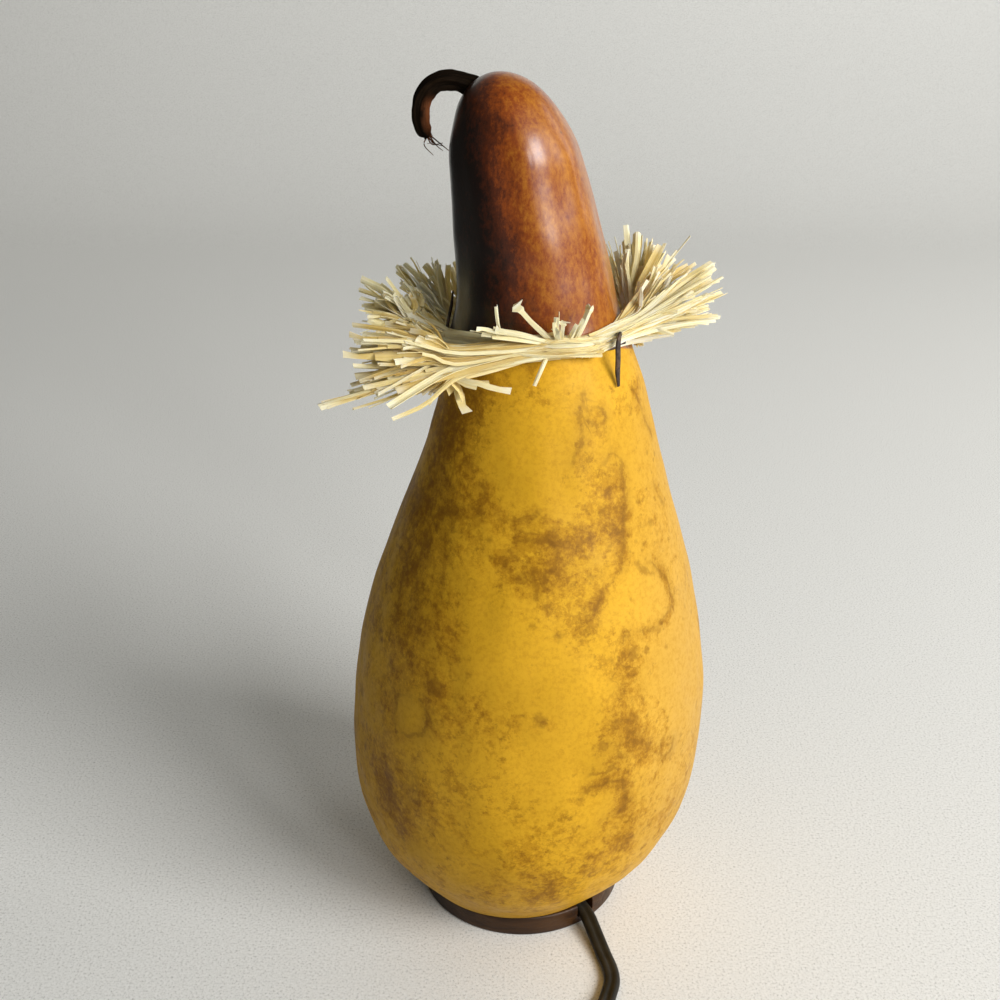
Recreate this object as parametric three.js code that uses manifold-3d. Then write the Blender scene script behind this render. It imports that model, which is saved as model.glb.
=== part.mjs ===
// A dried bottle gourd on a round wooden foot, made up as a small lamp.
// Millimetres, +Z up. The origin is the centre of the foot's underside; the cord leaves towards -Y.
import * as THREE from 'three';
import * as BufferGeometryUtils from 'three/addons/utils/BufferGeometryUtils.js';
import Module from 'manifold-3d';

const wasm = await Module();
wasm.setup();

// Driving dimensions of the gourd: heights and radii of its skin, and how its axis wanders in x
const FOOT_TOP = 8;
const GAP = 0.3;
const GOURD_CUT = FOOT_TOP + GAP;
const GOURD_TOP = 295;
const GOURD_WALL = 4.5;
const GOURD_PROFILE = [
  [GOURD_CUT, 37.6], [16, 44], [28, 53.4], [44, 60.1], [60, 62.8], [76, 63.2], [92, 62.2], [110, 59.5],
  [130, 54.4], [150, 47.9], [170, 41.2], [190, 35.3], [205, 31.5], [214, 29.1], [224, 26.2], [236, 24.3],
  [250, 22.5], [264, 20.9], [276, 18.9], [285, 15.1], [291.5, 9.5], [GOURD_TOP, 0],
];
const GOURD_AXIS = [
  [8, -2.2], [50, 0.7], [90, 2.6], [130, 3.8], [165, 5.5], [195, 6], [215, 4.6], [235, 2.9], [260, -1.3],
  [GOURD_TOP, -7.9],
];
const NECK_START = 190;
const NECK_BODY_FROM = 150;
const FLUTE_COUNT = 8;
const FLUTE_DEPTH = 0.35;
const BODY_LOBES = 3;
const BODY_LOBE_DEPTH = 0.7;
const AROUND = 40;

// The wooden foot, with the groove that the cord leaves by
const FOOT_RADIUS = 37.5;
const FOOT_EDGE = 0.6;
const SPIGOT_RADIUS = 29;
const SPIGOT_TOP = 13;
const GROOVE_FLOOR = 3;
const GROOVE_WIDTH = 7.4;
const WELL_RADIUS = 9;
const CORD_ANGLE = THREE.MathUtils.degToRad(-51.4);

// The lamp inside: a screw holder for a small candle bulb
const HOLDER_BASE = SPIGOT_TOP + GAP;
const HOLDER_FLANGE_RADIUS = 17;
const HOLDER_FLANGE = 3;
const HOLDER_RADIUS = 11;
const HOLDER_TOP = 47;
const SOCKET_RADIUS = 7.2;
const SOCKET_FLOOR = 26;
const SCREW_OFFSET = 13.6;
const SCREW_HEAD_RADIUS = 2.6;
const SCREW_HEAD = 1.5;
const SCREW_SHANK_RADIUS = 1.3;
const SCREW_LENGTH = 9;
const CAP_RADIUS = 6;
const CAP_BOTTOM = SOCKET_FLOOR + GAP;
const CAP_TOP = 42;
const BULB_RADIUS = 11;
const BULB_TOP = 86;
const WIRE_RADIUS = 1.1;

// The cord: flat twin flex, its coil, tie and plug
const CORD_WIDTH = 5.6;
const CORD_THICK = 2.8;
const CORD_START = 12.5;
const COIL_CENTRE = [-15, -126];
const COIL_INNER = 24;
const COIL_OUTER = 38;
const COIL_HEIGHT = 11.8;
const TIE_ANGLE = THREE.MathUtils.degToRad(200);
const TIE_WIDTH = 8;
const TIE_THICK = 1;
const PLUG_REAR = [-30.5, -167.4];
const PLUG_CENTRE_HEIGHT = 7;
const PLUG_RELIEF = 11;
const PLUG_BODY = 22;
const PLUG_WIDTH = 23;
const BLADE_SPACING = 12.7;
const BLADE_LENGTH = 16;
const BLADE_WIDTH = 6.3;
const BLADE_THICK = 1.5;
const BLADE_SUNK = 5;

// The stem: the middle of each station and the radius there
const STEM_DEPTH = 4;
const STEM_ROUTE = [
  [-10.5, 286.5, 4.6], [-14.6, 289.4, 3.9], [-19.2, 291.4, 3.4], [-24, 291.9, 3.25], [-28.2, 290.5, 3.2],
  [-31.2, 287, 3.15], [-32.2, 282.6, 3], [-31.6, 278.6, 2.8], [-29.8, 275.6, 2.4],
];
const STEM_RIBS = 5;
const STEM_RIB_DEPTH = 0.12;

// The waist, where a leather thong ties the straw: a ring in a plane that falls towards the back
const WAIST_HEIGHT = 213.5;
const WAIST_SLOPE = -0.2;
const COLLAR_RADIUS = 29.9;
const COLLAR_HALF = [2.4, 2.8];
const THONG_RADIUS = 0.9;
const THONG_RING = 32.1;
const THONG_TAIL_ANGLE = THREE.MathUtils.degToRad(-42);
const THONG_TAIL_END = 205;
const THONG_UPRIGHT_ANGLE = THREE.MathUtils.degToRad(184);
const THONG_UPRIGHT_END = 229;
const STRIP_THICK = 0.9;

// Smooth value of a table of [place, value] rows at a place between them
function smoothAt(table, place) {
  const last = table.length - 1;
  let i = table.findIndex((row) => row[0] > place) - 1;
  if (i < 0) i = place >= table[last][0] ? last - 1 : 0;
  const slope = (a, b) => (table[b][1] - table[a][1]) / (table[b][0] - table[a][0]);
  const step = table[i + 1][0] - table[i][0];
  const t = THREE.MathUtils.clamp((place - table[i][0]) / step, 0, 1);
  const middle = slope(i, i + 1);
  const start = i > 0 ? (slope(i - 1, i) + middle) / 2 : middle;
  const end = i + 2 <= last ? (slope(i + 1, i + 2) + middle) / 2 : middle;
  return table[i][1] * (2 * t ** 3 - 3 * t ** 2 + 1) + start * step * (t ** 3 - 2 * t ** 2 + t)
    + table[i + 1][1] * (3 * t ** 2 - 2 * t ** 3) + end * step * (t ** 3 - t ** 2);
}

// Radius of the skin at a height; its square is what is smoothed, so that the crown closes round
const SQUARED_PROFILE = GOURD_PROFILE.map(([z, r]) => [z, r * r]);
const skinRadius = (z) => Math.sqrt(Math.max(0, smoothAt(SQUARED_PROFILE, z)));
const axisX = (z) => smoothAt(GOURD_AXIS, z);

// How far the skin stands out of a plain round at a height and angle: soft flutes on the neck, lobes below
function skinRelief(z, angle) {
  const { smoothstep } = THREE.MathUtils;
  const neck = smoothstep(z, NECK_START, NECK_START + 40) * (1 - smoothstep(z, 270, 290));
  const body = Math.sin(Math.PI * THREE.MathUtils.clamp(z / NECK_START, 0, 1));
  const lobes = BODY_LOBE_DEPTH * body * Math.sin(BODY_LOBES * angle);
  return FLUTE_DEPTH * neck * Math.sin(FLUTE_COUNT * angle) + lobes;
}

// Takes a body of revolution about +Z to the gourd's own form
function bendToGourd(geometry) {
  const p = geometry.attributes.position;
  for (let i = 0; i < p.count; i += 1) {
    const [x, y, z] = [p.getX(i), p.getY(i), p.getZ(i)];
    const radius = Math.hypot(x, y);
    const angle = Math.atan2(y, x);
    const grown = radius < 0.01 ? 0 : radius + skinRelief(z, angle) * Math.min(1, radius / 12);
    p.setXYZ(i, grown * Math.cos(angle) + axisX(z), grown * Math.sin(angle), z);
  }
  return geometry;
}

// A body of revolution about +Z from [radius, height] points
function turned(points, around) {
  const profile = points.map(([r, z]) => new THREE.Vector2(r, z));
  return new THREE.LatheGeometry(profile, around).rotateX(Math.PI / 2);
}

// Closed solid of a geometry: shared points merged, flat slivers at the poles left out
function solidOf(geometry) {
  const bare = geometry.clone();
  bare.deleteAttribute('normal');
  bare.deleteAttribute('uv');
  const merged = BufferGeometryUtils.mergeVertices(bare, 1e-4);
  const triangles = [];
  for (let i = 0; i < merged.index.count; i += 3) {
    const [a, b, c] = [0, 1, 2].map((k) => merged.index.getX(i + k));
    if (a !== b && b !== c && c !== a) triangles.push(a, b, c);
  }
  const vertProperties = new Float32Array(merged.attributes.position.array);
  return new wasm.Manifold(new wasm.Mesh({ numProp: 3, vertProperties, triVerts: new Uint32Array(triangles) }));
}

// Geometry of a closed solid
function geometryOf(solid) {
  const mesh = solid.getMesh();
  const geometry = new THREE.BufferGeometry();
  geometry.setAttribute('position', new THREE.BufferAttribute(mesh.vertProperties, 3));
  geometry.setIndex(new THREE.BufferAttribute(mesh.triVerts, 1));
  geometry.computeVertexNormals();
  return geometry;
}

const largestBody = (solid) => solid.decompose().sort((a, b) => b.volume() - a.volume())[0];

function material(colour, roughness, metalness = 0) {
  return new THREE.MeshStandardMaterial({ color: colour, roughness, metalness });
}

const lamp = new THREE.Group();

function addPiece(name, geometry, look) {
  const mesh = new THREE.Mesh(geometry, look);
  mesh.name = name;
  lamp.add(mesh);
}

// Heights of the skin's rings between two heights, closer together where they near the crown
function ringHeights(from, to, count) {
  const share = (i) => Math.sin((Math.PI / 2) * (i / count)) ** 0.9;
  return Array.from({ length: count + 1 }, (_, i) => from + (to - from) * share(i));
}

function gourdShell() {
  const outside = ringHeights(GOURD_CUT, GOURD_TOP, 26).map((z) => [skinRadius(z), z]);
  const innerTop = GOURD_TOP - GOURD_WALL;
  const inside = ringHeights(GOURD_CUT, innerTop, 11).map((z, i, all) => {
    const radius = i === all.length - 1 ? 0 : Math.max(2, skinRadius(z) - GOURD_WALL);
    return [radius, z];
  });
  const outline = [...inside.reverse(), ...outside];
  return bendToGourd(turned(outline, AROUND));
}

// The gourd's neck as a plain solid that stands out by a margin, to trim what lies against it
function neckBody(margin) {
  const skin = ringHeights(NECK_BODY_FROM, GOURD_TOP, 20).map((z) => [
    z < GOURD_TOP ? skinRadius(z) + margin : 0, z + (z < 280 ? 0 : margin),
  ]);
  const outline = [[0, NECK_BODY_FROM], ...skin];
  return solidOf(bendToGourd(turned(outline, AROUND)));
}

// A body lofted through rings of points, closed at both ends by fans
function lofted(rings) {
  const around = rings[0].length;
  const positions = rings.flat().flatMap((v) => [v.x, v.y, v.z]);
  const index = [];
  for (let s = 0; s + 1 < rings.length; s += 1) {
    for (let i = 0; i < around; i += 1) {
      const [a, b] = [s * around + i, s * around + ((i + 1) % around)];
      index.push(a, b, b + around, a, b + around, a + around);
    }
  }
  const last = (rings.length - 1) * around;
  for (let i = 1; i + 1 < around; i += 1) {
    index.push(0, i + 1, i);
    index.push(last, last + i, last + i + 1);
  }
  const geometry = new THREE.BufferGeometry();
  geometry.setAttribute('position', new THREE.BufferAttribute(new Float32Array(positions), 3));
  geometry.setIndex(signedVolume(positions, index) < 0 ? index.reverse() : index);
  return geometry;
}

// Volume inside a closed mesh, below zero where its faces point inwards
function signedVolume(positions, index) {
  const at = (k) => new THREE.Vector3(...positions.slice(3 * k, 3 * k + 3));
  let volume = 0;
  for (let i = 0; i < index.length; i += 3) {
    volume += at(index[i]).dot(at(index[i + 1]).cross(at(index[i + 2]))) / 6;
  }
  return volume;
}

// The ribbed, hooked stem that dried on the crown
function stemBody() {
  const curve = new THREE.CatmullRomCurve3(STEM_ROUTE.map(([x, z]) => new THREE.Vector3(x, STEM_DEPTH, z)));
  const stations = 14;
  const radii = STEM_ROUTE.map(([, , r], i) => [i / (STEM_ROUTE.length - 1), r]);
  const rings = [];
  for (let s = 0; s <= stations; s += 1) {
    const t = s / stations;
    const middle = curve.getPoint(t);
    const along = curve.getTangent(t);
    const across = new THREE.Vector3(0, 1, 0);
    const out = new THREE.Vector3().crossVectors(along, across).normalize();
    const ring = [];
    for (let i = 0; i < STEM_RIBS * 3; i += 1) {
      const angle = (2 * Math.PI * i) / (STEM_RIBS * 3);
      const radius = smoothAt(radii, t) * (1 + STEM_RIB_DEPTH * Math.cos(STEM_RIBS * angle + 1.5 * t));
      const point = middle.clone().addScaledVector(out, radius * Math.cos(angle));
      ring.push(point.addScaledVector(across, radius * Math.sin(angle)));
    }
    rings.push(ring);
  }
  return largestBody(solidOf(lofted(rings)).subtract(neckBody(GAP)));
}

// Height of the waist's plane at a depth y
const waistAt = (y) => WAIST_HEIGHT + WAIST_SLOPE * y;

// A point of the waist's plane at a radius and an angle round the neck
function waistPoint(radius, angle) {
  const y = radius * Math.sin(angle);
  return new THREE.Vector3(axisX(waistAt(y)) + radius * Math.cos(angle), y, waistAt(y));
}

// A closed ring round the waist with an oval section of the half sizes [outwards, upwards]
function waistRing(radius, half, around, sides) {
  const positions = [];
  const index = [];
  for (let i = 0; i < around; i += 1) {
    const angle = (2 * Math.PI * i) / around;
    for (let k = 0; k < sides; k += 1) {
      const turn = (2 * Math.PI * k) / sides;
      const p = waistPoint(radius + half[0] * Math.cos(turn), angle);
      positions.push(p.x, p.y, p.z + half[1] * Math.sin(turn));
      const [a, b] = [i * sides + k, i * sides + ((k + 1) % sides)];
      const [c, d] = [a, b].map((v) => (v + sides) % (around * sides));
      index.push(a, c, d, a, d, b);
    }
  }
  const geometry = new THREE.BufferGeometry();
  geometry.setAttribute('position', new THREE.BufferAttribute(new Float32Array(positions), 3));
  geometry.setIndex(signedVolume(positions, index) < 0 ? index.reverse() : index);
  return solidOf(geometry);
}

// A round bar along a curve
function bar(points, radius, sides, steps) {
  const section = new THREE.Shape();
  for (let i = 0; i < sides; i += 1) {
    const angle = (2 * Math.PI * i) / sides;
    const [x, y] = [radius * Math.cos(angle), radius * Math.sin(angle)];
    if (i) section.lineTo(x, y);
    else section.moveTo(x, y);
  }
  section.closePath();
  const path = new THREE.CatmullRomCurve3(points.map((p) => new THREE.Vector3(...p)));
  return new THREE.ExtrudeGeometry(section, { steps, extrudePath: path });
}

// The thong: its ring, the tail that hangs down the front and the end that stands up on the left
function thongBody(margin) {
  const thick = THONG_RADIUS + margin;
  const ring = waistRing(THONG_RING, [thick, thick], 32, 6);
  const tailTop = waistPoint(THONG_RING, THONG_TAIL_ANGLE);
  const clear = GAP + THONG_RADIUS;
  const onSkin = (z, angle, away) => {
    const radius = skinRadius(z) + clear + away;
    return [axisX(z) + radius * Math.cos(angle), radius * Math.sin(angle), z];
  };
  const tail = bar([
    tailTop.toArray(), onSkin(213.5, THONG_TAIL_ANGLE + 0.01, 1.4), onSkin(209.5, THONG_TAIL_ANGLE, 0.6),
    onSkin(THONG_TAIL_END, THONG_TAIL_ANGLE - 0.02, 0.3),
  ], thick, 6, 6);
  const foot = waistPoint(THONG_RING, THONG_UPRIGHT_ANGLE);
  const upright = bar([
    foot.toArray(), onSkin(218, THONG_UPRIGHT_ANGLE, 1.8), onSkin(223, THONG_UPRIGHT_ANGLE - 0.04, 0.5),
    onSkin(THONG_UPRIGHT_END, THONG_UPRIGHT_ANGLE - 0.06, 0.4),
  ], thick, 6, 6);
  return ring.add(solidOf(tail)).add(solidOf(upright));
}

// Sheaves of straw: the angle in degrees where each is tied, the end of its bound part and that part's half
// sizes [across, upwards], the tips and widths of the strips that show singly, the corners of the range of
// the other tips, and how many those are
const SHEAVES = [
  {
    tied: -86, end: [-22, -34, 216.5], half: [5.5, 4], low: [-54, -44, 204], high: [-38, -22, 226], count: 11,
    singles: [
      [[-48, -22, 223], 3.2], [[-48, -28, 220], 3.6], [[-54, -28, 216.5], 1.6], [[-51, -36, 213], 3],
      [[-45, -38, 213], 3.4], [[-44, -42, 211], 3.2], [[-61, -44, 206], 4.6], [[-40, -48, 207], 3.4],
      [[-39, -50, 204], 1.6], [[-19, -33, 198.5], 3.6], [[-5, -36, 208], 3.4],
    ],
  },
  {
    tied: -50, end: [35, -9, 222], half: [5.5, 4], low: [44, -8, 218], high: [62, 12, 237], count: 9,
    singles: [
      [[42, 16, 230], 3.4], [[49, 14, 236], 3.4], [[53, 10, 234], 3.6], [[60, 6, 236], 3.4],
      [[63, 0, 228], 3.8], [[57, -4, 229], 3.4], [[47, -10, 225], 3.8], [[46, -13, 218.5], 1.8],
    ],
  },
  {
    tied: 4, end: [36, 20, 221], half: [4.5, 3.6], low: [34, 24, 224], high: [50, 42, 238], count: 6,
    singles: [
      [[31, 40, 237], 3], [[35, 36, 242], 3.4], [[38, 32, 240.5], 3.2], [[42, 28, 237], 3.4],
      [[45, 24, 238], 3], [[54, 20, 242], 1.6],
    ],
  },
  {
    tied: -170, end: [-36, 5, 218], half: [5, 3.8], low: [-54, -3, 214], high: [-42, 14, 230], count: 7,
    singles: [
      [[-53, 10, 230], 3.2], [[-46, 5, 230], 1.8], [[-44, 0, 233], 1.8], [[-53, 8, 224], 3.4],
      [[-50, 0, 220], 3.4],
    ],
  },
  {
    tied: 152, end: [-28, 24, 215], half: [4.5, 3.6], low: [-44, 26, 212], high: [-28, 42, 230], count: 6,
    singles: [[[-39, 20, 224], 3.2], [[-35, 24, 225], 3.4], [[-29, 30, 230], 2.8], [[-26, 34, 229], 2.6]],
  },
];
// Short curls that stand up over the knot in front: angle in degrees, tip, width
const CURLS = [
  [-84, [-15, -35, 227], 4.2], [-112, [-9, -33, 233], 1.8], [-82, [-4, -33.5, 234.5], 2.6],
  [-80, [9, -32, 230.5], 3.4], [-74, [14, -31.5, 227], 2.8], [-70, [19, -30, 233], 2.6],
  [-86, [2, -34, 209], 2],
];
// The straw that stands out all along the back: angles in degrees, reach from the neck's axis, count
const BACK_STRAW = { from: 34, to: 140, reach: [46, 58], rise: [206, 228], count: 16 };

// Repeatable random numbers between 0 and 1
function seeded(seed) {
  let state = seed;
  return () => {
    state = (state * 1664525 + 1013904223) % 4294967296;
    return state / 4294967296;
  };
}

// One flat strip between two points: flat side up, bowed a little and turned on its way
function strip(root, tip, width, bow, twist) {
  const end = new THREE.Vector3(...tip);
  const middle = root.clone().lerp(end, 0.5);
  middle.z += bow;
  const curve = new THREE.QuadraticBezierCurve3(root, middle, end);
  const stations = 2;
  const rings = [];
  for (let s = 0; s <= stations; s += 1) {
    const t = s / stations;
    const along = curve.getTangent(t);
    const flat = new THREE.Vector3(0, 0, 1).applyAxisAngle(along, twist * t);
    const side = new THREE.Vector3().crossVectors(flat, along).normalize().multiplyScalar(width / 2);
    const up = new THREE.Vector3().crossVectors(along, side).normalize().multiplyScalar(STRIP_THICK / 2);
    const at = curve.getPoint(t);
    rings.push([[1, 1], [-1, 1], [-1, -1], [1, -1]].map(([a, b]) => (
      at.clone().addScaledVector(side, a).addScaledVector(up, b))));
  }
  return solidOf(lofted(rings));
}

// The bound part of a sheaf: an oval bar that opens out from the waist
function boundPart(root, end, half) {
  const along = end.clone().sub(root).normalize();
  const across = new THREE.Vector3().crossVectors(new THREE.Vector3(0, 0, 1), along).normalize();
  const up = new THREE.Vector3().crossVectors(along, across);
  const rings = [[0, 0.45], [0.5, 0.8], [0.85, 1], [1, 0.6]].map(([share, size]) => {
    const middle = root.clone().lerp(end, share);
    return [0, 1, 2, 3, 4, 5, 6, 7].map((i) => {
      const angle = (Math.PI * (i + 0.5)) / 4;
      return middle.clone().addScaledVector(across, half[0] * size * Math.cos(angle))
        .addScaledVector(up, half[1] * size * Math.sin(angle));
    });
  });
  return solidOf(lofted(rings));
}

function sheafPieces({ tied, end, half, low, high, count, singles }, random) {
  const root = waistPoint(COLLAR_RADIUS, THREE.MathUtils.degToRad(tied));
  const far = new THREE.Vector3(...end);
  const tips = [...singles];
  for (let i = 0; i < count; i += 1) {
    tips.push([low.map((value, k) => value + (high[k] - value) * random()), 2.6 + 1.2 * random()]);
  }
  const strips = tips.map(([tip, width]) => {
    const start = root.clone().lerp(far, 0.62 + 0.2 * random());
    return strip(start, tip, width, 2 * random(), random() - 0.5);
  });
  return [boundPart(root, far, half), ...strips];
}

// The ruff: sheaves, curls and back straw bound into a collar, trimmed off the neck and the thong
function ruffBody() {
  const random = seeded(7);
  const pieces = SHEAVES.flatMap((sheaf) => sheafPieces(sheaf, random));
  const rootAt = (degrees, tipHeight) => {
    const root = waistPoint(COLLAR_RADIUS + 0.4, THREE.MathUtils.degToRad(degrees));
    root.z += tipHeight > root.z ? 1.6 : -1.6;
    return root;
  };
  CURLS.forEach(([degrees, tip, width]) => {
    pieces.push(strip(rootAt(degrees, tip[2]), tip, width, 1, random() - 0.5));
  });
  const { from, to, reach, rise, count } = BACK_STRAW;
  for (let i = 0; i < count; i += 1) {
    const degrees = from + ((to - from) * (i + 0.5)) / count;
    const angle = THREE.MathUtils.degToRad(degrees + 8 * (random() - 0.5));
    const far = reach[0] + (reach[1] - reach[0]) * random();
    const tip = [4 + far * Math.cos(angle), far * Math.sin(angle), rise[0] + (rise[1] - rise[0]) * random()];
    pieces.push(strip(rootAt(degrees, tip[2]), tip, 2.8 + random(), 1.5 * random(), random() - 0.5));
  }
  const collar = waistRing(COLLAR_RADIUS, COLLAR_HALF, 32, 6);
  const bound = wasm.Manifold.union([collar, ...pieces]);
  return largestBody(bound.subtract(neckBody(GAP)).subtract(thongBody(GAP)));
}

// The turned foot with its spigot, cord groove, wire well and screw holes
function footBody() {
  const blank = solidOf(turned([
    [0, 0], [FOOT_RADIUS - FOOT_EDGE, 0], [FOOT_RADIUS, FOOT_EDGE], [FOOT_RADIUS, FOOT_TOP - FOOT_EDGE],
    [FOOT_RADIUS - FOOT_EDGE, FOOT_TOP], [SPIGOT_RADIUS, FOOT_TOP], [SPIGOT_RADIUS, SPIGOT_TOP],
    [0, SPIGOT_TOP],
  ], 48));
  const length = FOOT_RADIUS + 2;
  const groove = new THREE.BoxGeometry(length, GROOVE_WIDTH, SPIGOT_TOP + 1 - GROOVE_FLOOR);
  groove.translate(length / 2, 0, (SPIGOT_TOP + 1 + GROOVE_FLOOR) / 2).rotateZ(CORD_ANGLE);
  const well = turned([
    [0, GROOVE_FLOOR], [WELL_RADIUS, GROOVE_FLOOR], [WELL_RADIUS, SPIGOT_TOP + 1], [0, SPIGOT_TOP + 1],
  ], 24);
  return blank.subtract(solidOf(groove)).subtract(solidOf(well)).subtract(screwHoles());
}

const SCREW_ANGLE = CORD_ANGLE + Math.PI / 2;
const screwPlaces = [-1, 1].map((side) => [
  side * SCREW_OFFSET * Math.cos(SCREW_ANGLE), side * SCREW_OFFSET * Math.sin(SCREW_ANGLE),
]);
const SCREW_SEAT = HOLDER_BASE + HOLDER_FLANGE;

function screwHoles() {
  const radius = SCREW_SHANK_RADIUS + GAP;
  const low = SCREW_SEAT - SCREW_LENGTH - GAP;
  const hole = turned([[0, low], [radius, low], [radius, SCREW_SEAT + 1], [0, SCREW_SEAT + 1]], 12);
  const [first, second] = screwPlaces.map(([x, y]) => solidOf(hole.clone().translate(x, y, 0)));
  return first.add(second);
}

function screw([x, y]) {
  const seat = SCREW_SEAT + GAP;
  const point = SCREW_SEAT - SCREW_LENGTH;
  return turned([
    [0, point], [SCREW_SHANK_RADIUS, point + 1.5], [SCREW_SHANK_RADIUS, seat],
    [SCREW_HEAD_RADIUS, seat], [SCREW_HEAD_RADIUS * 0.8, seat + SCREW_HEAD], [0, seat + SCREW_HEAD],
  ], 12).translate(x, y, 0);
}

function holderBody() {
  const blank = turned([
    [0, HOLDER_BASE], [HOLDER_FLANGE_RADIUS, HOLDER_BASE], [HOLDER_FLANGE_RADIUS, SCREW_SEAT],
    [HOLDER_RADIUS, SCREW_SEAT], [HOLDER_RADIUS, HOLDER_TOP - 1], [HOLDER_RADIUS - 1, HOLDER_TOP],
    [SOCKET_RADIUS, HOLDER_TOP], [SOCKET_RADIUS, SOCKET_FLOOR], [0, SOCKET_FLOOR],
  ], 32);
  return solidOf(blank).subtract(screwHoles());
}

// The screw cap with its rounded threads
function bulbCap() {
  const threads = [];
  for (let z = CAP_BOTTOM + 3; z < CAP_TOP - 1; z += 2.6) {
    threads.push([CAP_RADIUS, z], [CAP_RADIUS - 0.5, z + 1.3]);
  }
  return turned([
    [0, CAP_BOTTOM], [2.5, CAP_BOTTOM], [4.6, CAP_BOTTOM + 2.4], ...threads, [CAP_RADIUS - 0.2, CAP_TOP],
    [0, CAP_TOP],
  ], 16);
}

// The candle-shaped glass
function bulbGlass() {
  const half = [[0, CAP_TOP + GAP], [5.6, CAP_TOP + GAP], [6, 46], [8.2, 52], [10.4, 59], [BULB_RADIUS, 65]];
  const tip = [[10.2, 71], [8, 77], [5, 82], [2.2, BULB_TOP - 0.8], [0, BULB_TOP]];
  return turned([...half, ...tip], 20);
}

// Flat twin flex: a section with rounded edges, its thickness along the first axis of the frame
function cordSection(thick, wide) {
  const section = new THREE.Shape();
  const [a, b] = [thick / 2, wide / 2];
  const cut = thick * 0.3;
  const corners = [
    [a, b - cut], [a - cut, b], [cut - a, b], [-a, b - cut],
    [-a, cut - b], [cut - a, -b], [a - cut, -b], [a, cut - b],
  ];
  corners.forEach(([x, y], i) => (i ? section.lineTo(x, y) : section.moveTo(x, y)));
  section.closePath();
  return section;
}

// The cord's way from the foot's groove, over the surface, to the side of its coil
const exitPoint = (radius, z) => [radius * Math.cos(CORD_ANGLE), radius * Math.sin(CORD_ANGLE), z];
const GROOVE_CORD = GROOVE_FLOOR + GAP + CORD_THICK / 2;
const FLOOR_CORD = CORD_THICK / 2 + 0.05;
const CORD_ROUTE = [
  exitPoint(CORD_START, GROOVE_CORD), exitPoint(20, GROOVE_CORD), exitPoint(28, GROOVE_CORD),
  exitPoint(34, GROOVE_CORD + 0.1), [23.9, -31.9, 4.4], [25.6, -37.3, 3.3], [27.3, -43, 2.1],
  [28.9, -49, FLOOR_CORD], [30.4, -55, FLOOR_CORD], [30.7, -61, FLOOR_CORD], [28.9, -67.5, FLOOR_CORD],
  [26.7, -74, FLOOR_CORD],
  [25, -81, FLOOR_CORD], [24.1, -89, FLOOR_CORD], [24, -98, FLOOR_CORD], [24.6, -107, FLOOR_CORD],
  [25.6, -116, FLOOR_CORD], [26.7, -124, FLOOR_CORD],
];
const TAIL_ROUTE = [
  [-3.2, -165.7, 8.4], [-9, -166.9, 8.1], [-16, -167.4, 7.5], [-23, PLUG_REAR[1], PLUG_CENTRE_HEIGHT],
  [PLUG_REAR[0] + GAP, PLUG_REAR[1], PLUG_CENTRE_HEIGHT],
];

function cordTube(route, steps) {
  const path = new THREE.CatmullRomCurve3(route.map((p) => new THREE.Vector3(...p)));
  return new THREE.ExtrudeGeometry(cordSection(CORD_THICK, CORD_WIDTH), { steps, extrudePath: path });
}

// The two cores, from the cord's end up into the holder
function wire(side) {
  const across = new THREE.Vector2(-Math.sin(CORD_ANGLE), Math.cos(CORD_ANGLE)).multiplyScalar(side * 1.4);
  const at = (radius, z) => {
    const [x, y] = exitPoint(radius, z);
    return [x + across.x, y + across.y, z];
  };
  return bar([
    at(CORD_START - GAP, GROOVE_CORD), at(7.5, GROOVE_CORD + 0.2), at(4.5, 6.5), at(3.5, 9.5),
    at(3.4, HOLDER_BASE - GAP),
  ], WIRE_RADIUS, 8, 10);
}

// The coil's outer shape, drawn in where the tie holds it
function tieBlock(inset) {
  const long = COIL_OUTER - COIL_INNER - 2 * inset;
  const tall = COIL_HEIGHT - 2 * inset;
  const shape = new THREE.Shape();
  const corner = 2.4;
  const [a, b] = [long / 2, tall / 2];
  shape.moveTo(a, b - corner);
  shape.lineTo(a - corner, b);
  shape.lineTo(corner - a, b);
  shape.lineTo(-a, b - corner);
  shape.lineTo(-a, corner - b);
  shape.lineTo(corner - a, -b);
  shape.lineTo(a - corner, -b);
  shape.lineTo(a, corner - b);
  shape.closePath();
  return shape;
}

function tieSolid(inset, width) {
  const block = new THREE.ExtrudeGeometry(tieBlock(inset), { depth: width, bevelEnabled: false });
  block.translate(0, 0, -width / 2).rotateX(Math.PI / 2);
  block.translate((COIL_INNER + COIL_OUTER) / 2, 0, COIL_HEIGHT / 2).rotateZ(TIE_ANGLE);
  return solidOf(block.translate(...COIL_CENTRE, 0));
}

function coilBody() {
  const [low, high, edge] = [0, COIL_HEIGHT, 1.6];
  const ring = turned([
    [COIL_INNER, low + edge], [COIL_INNER + edge, low], [COIL_OUTER - edge, low], [COIL_OUTER, low + edge],
    [COIL_OUTER, high - edge], [COIL_OUTER - edge, high], [COIL_INNER + edge, high], [COIL_INNER, high - edge],
    [COIL_INNER, low + edge],
  ], 48);
  const whole = solidOf(ring.translate(...COIL_CENTRE, 0));
  const slab = new THREE.BoxGeometry(COIL_OUTER, TIE_WIDTH + 2 * GAP, COIL_HEIGHT * 2);
  slab.translate(COIL_OUTER - 6, 0, COIL_HEIGHT / 2).rotateZ(TIE_ANGLE).translate(...COIL_CENTRE, 0);
  const grooved = whole.subtract(solidOf(slab));
  return grooved.add(tieSolid(TIE_THICK + GAP, TIE_WIDTH + 4 * GAP));
}

const tieBody = () => tieSolid(0, TIE_WIDTH).subtract(tieSolid(TIE_THICK, TIE_WIDTH + 1));

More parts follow.
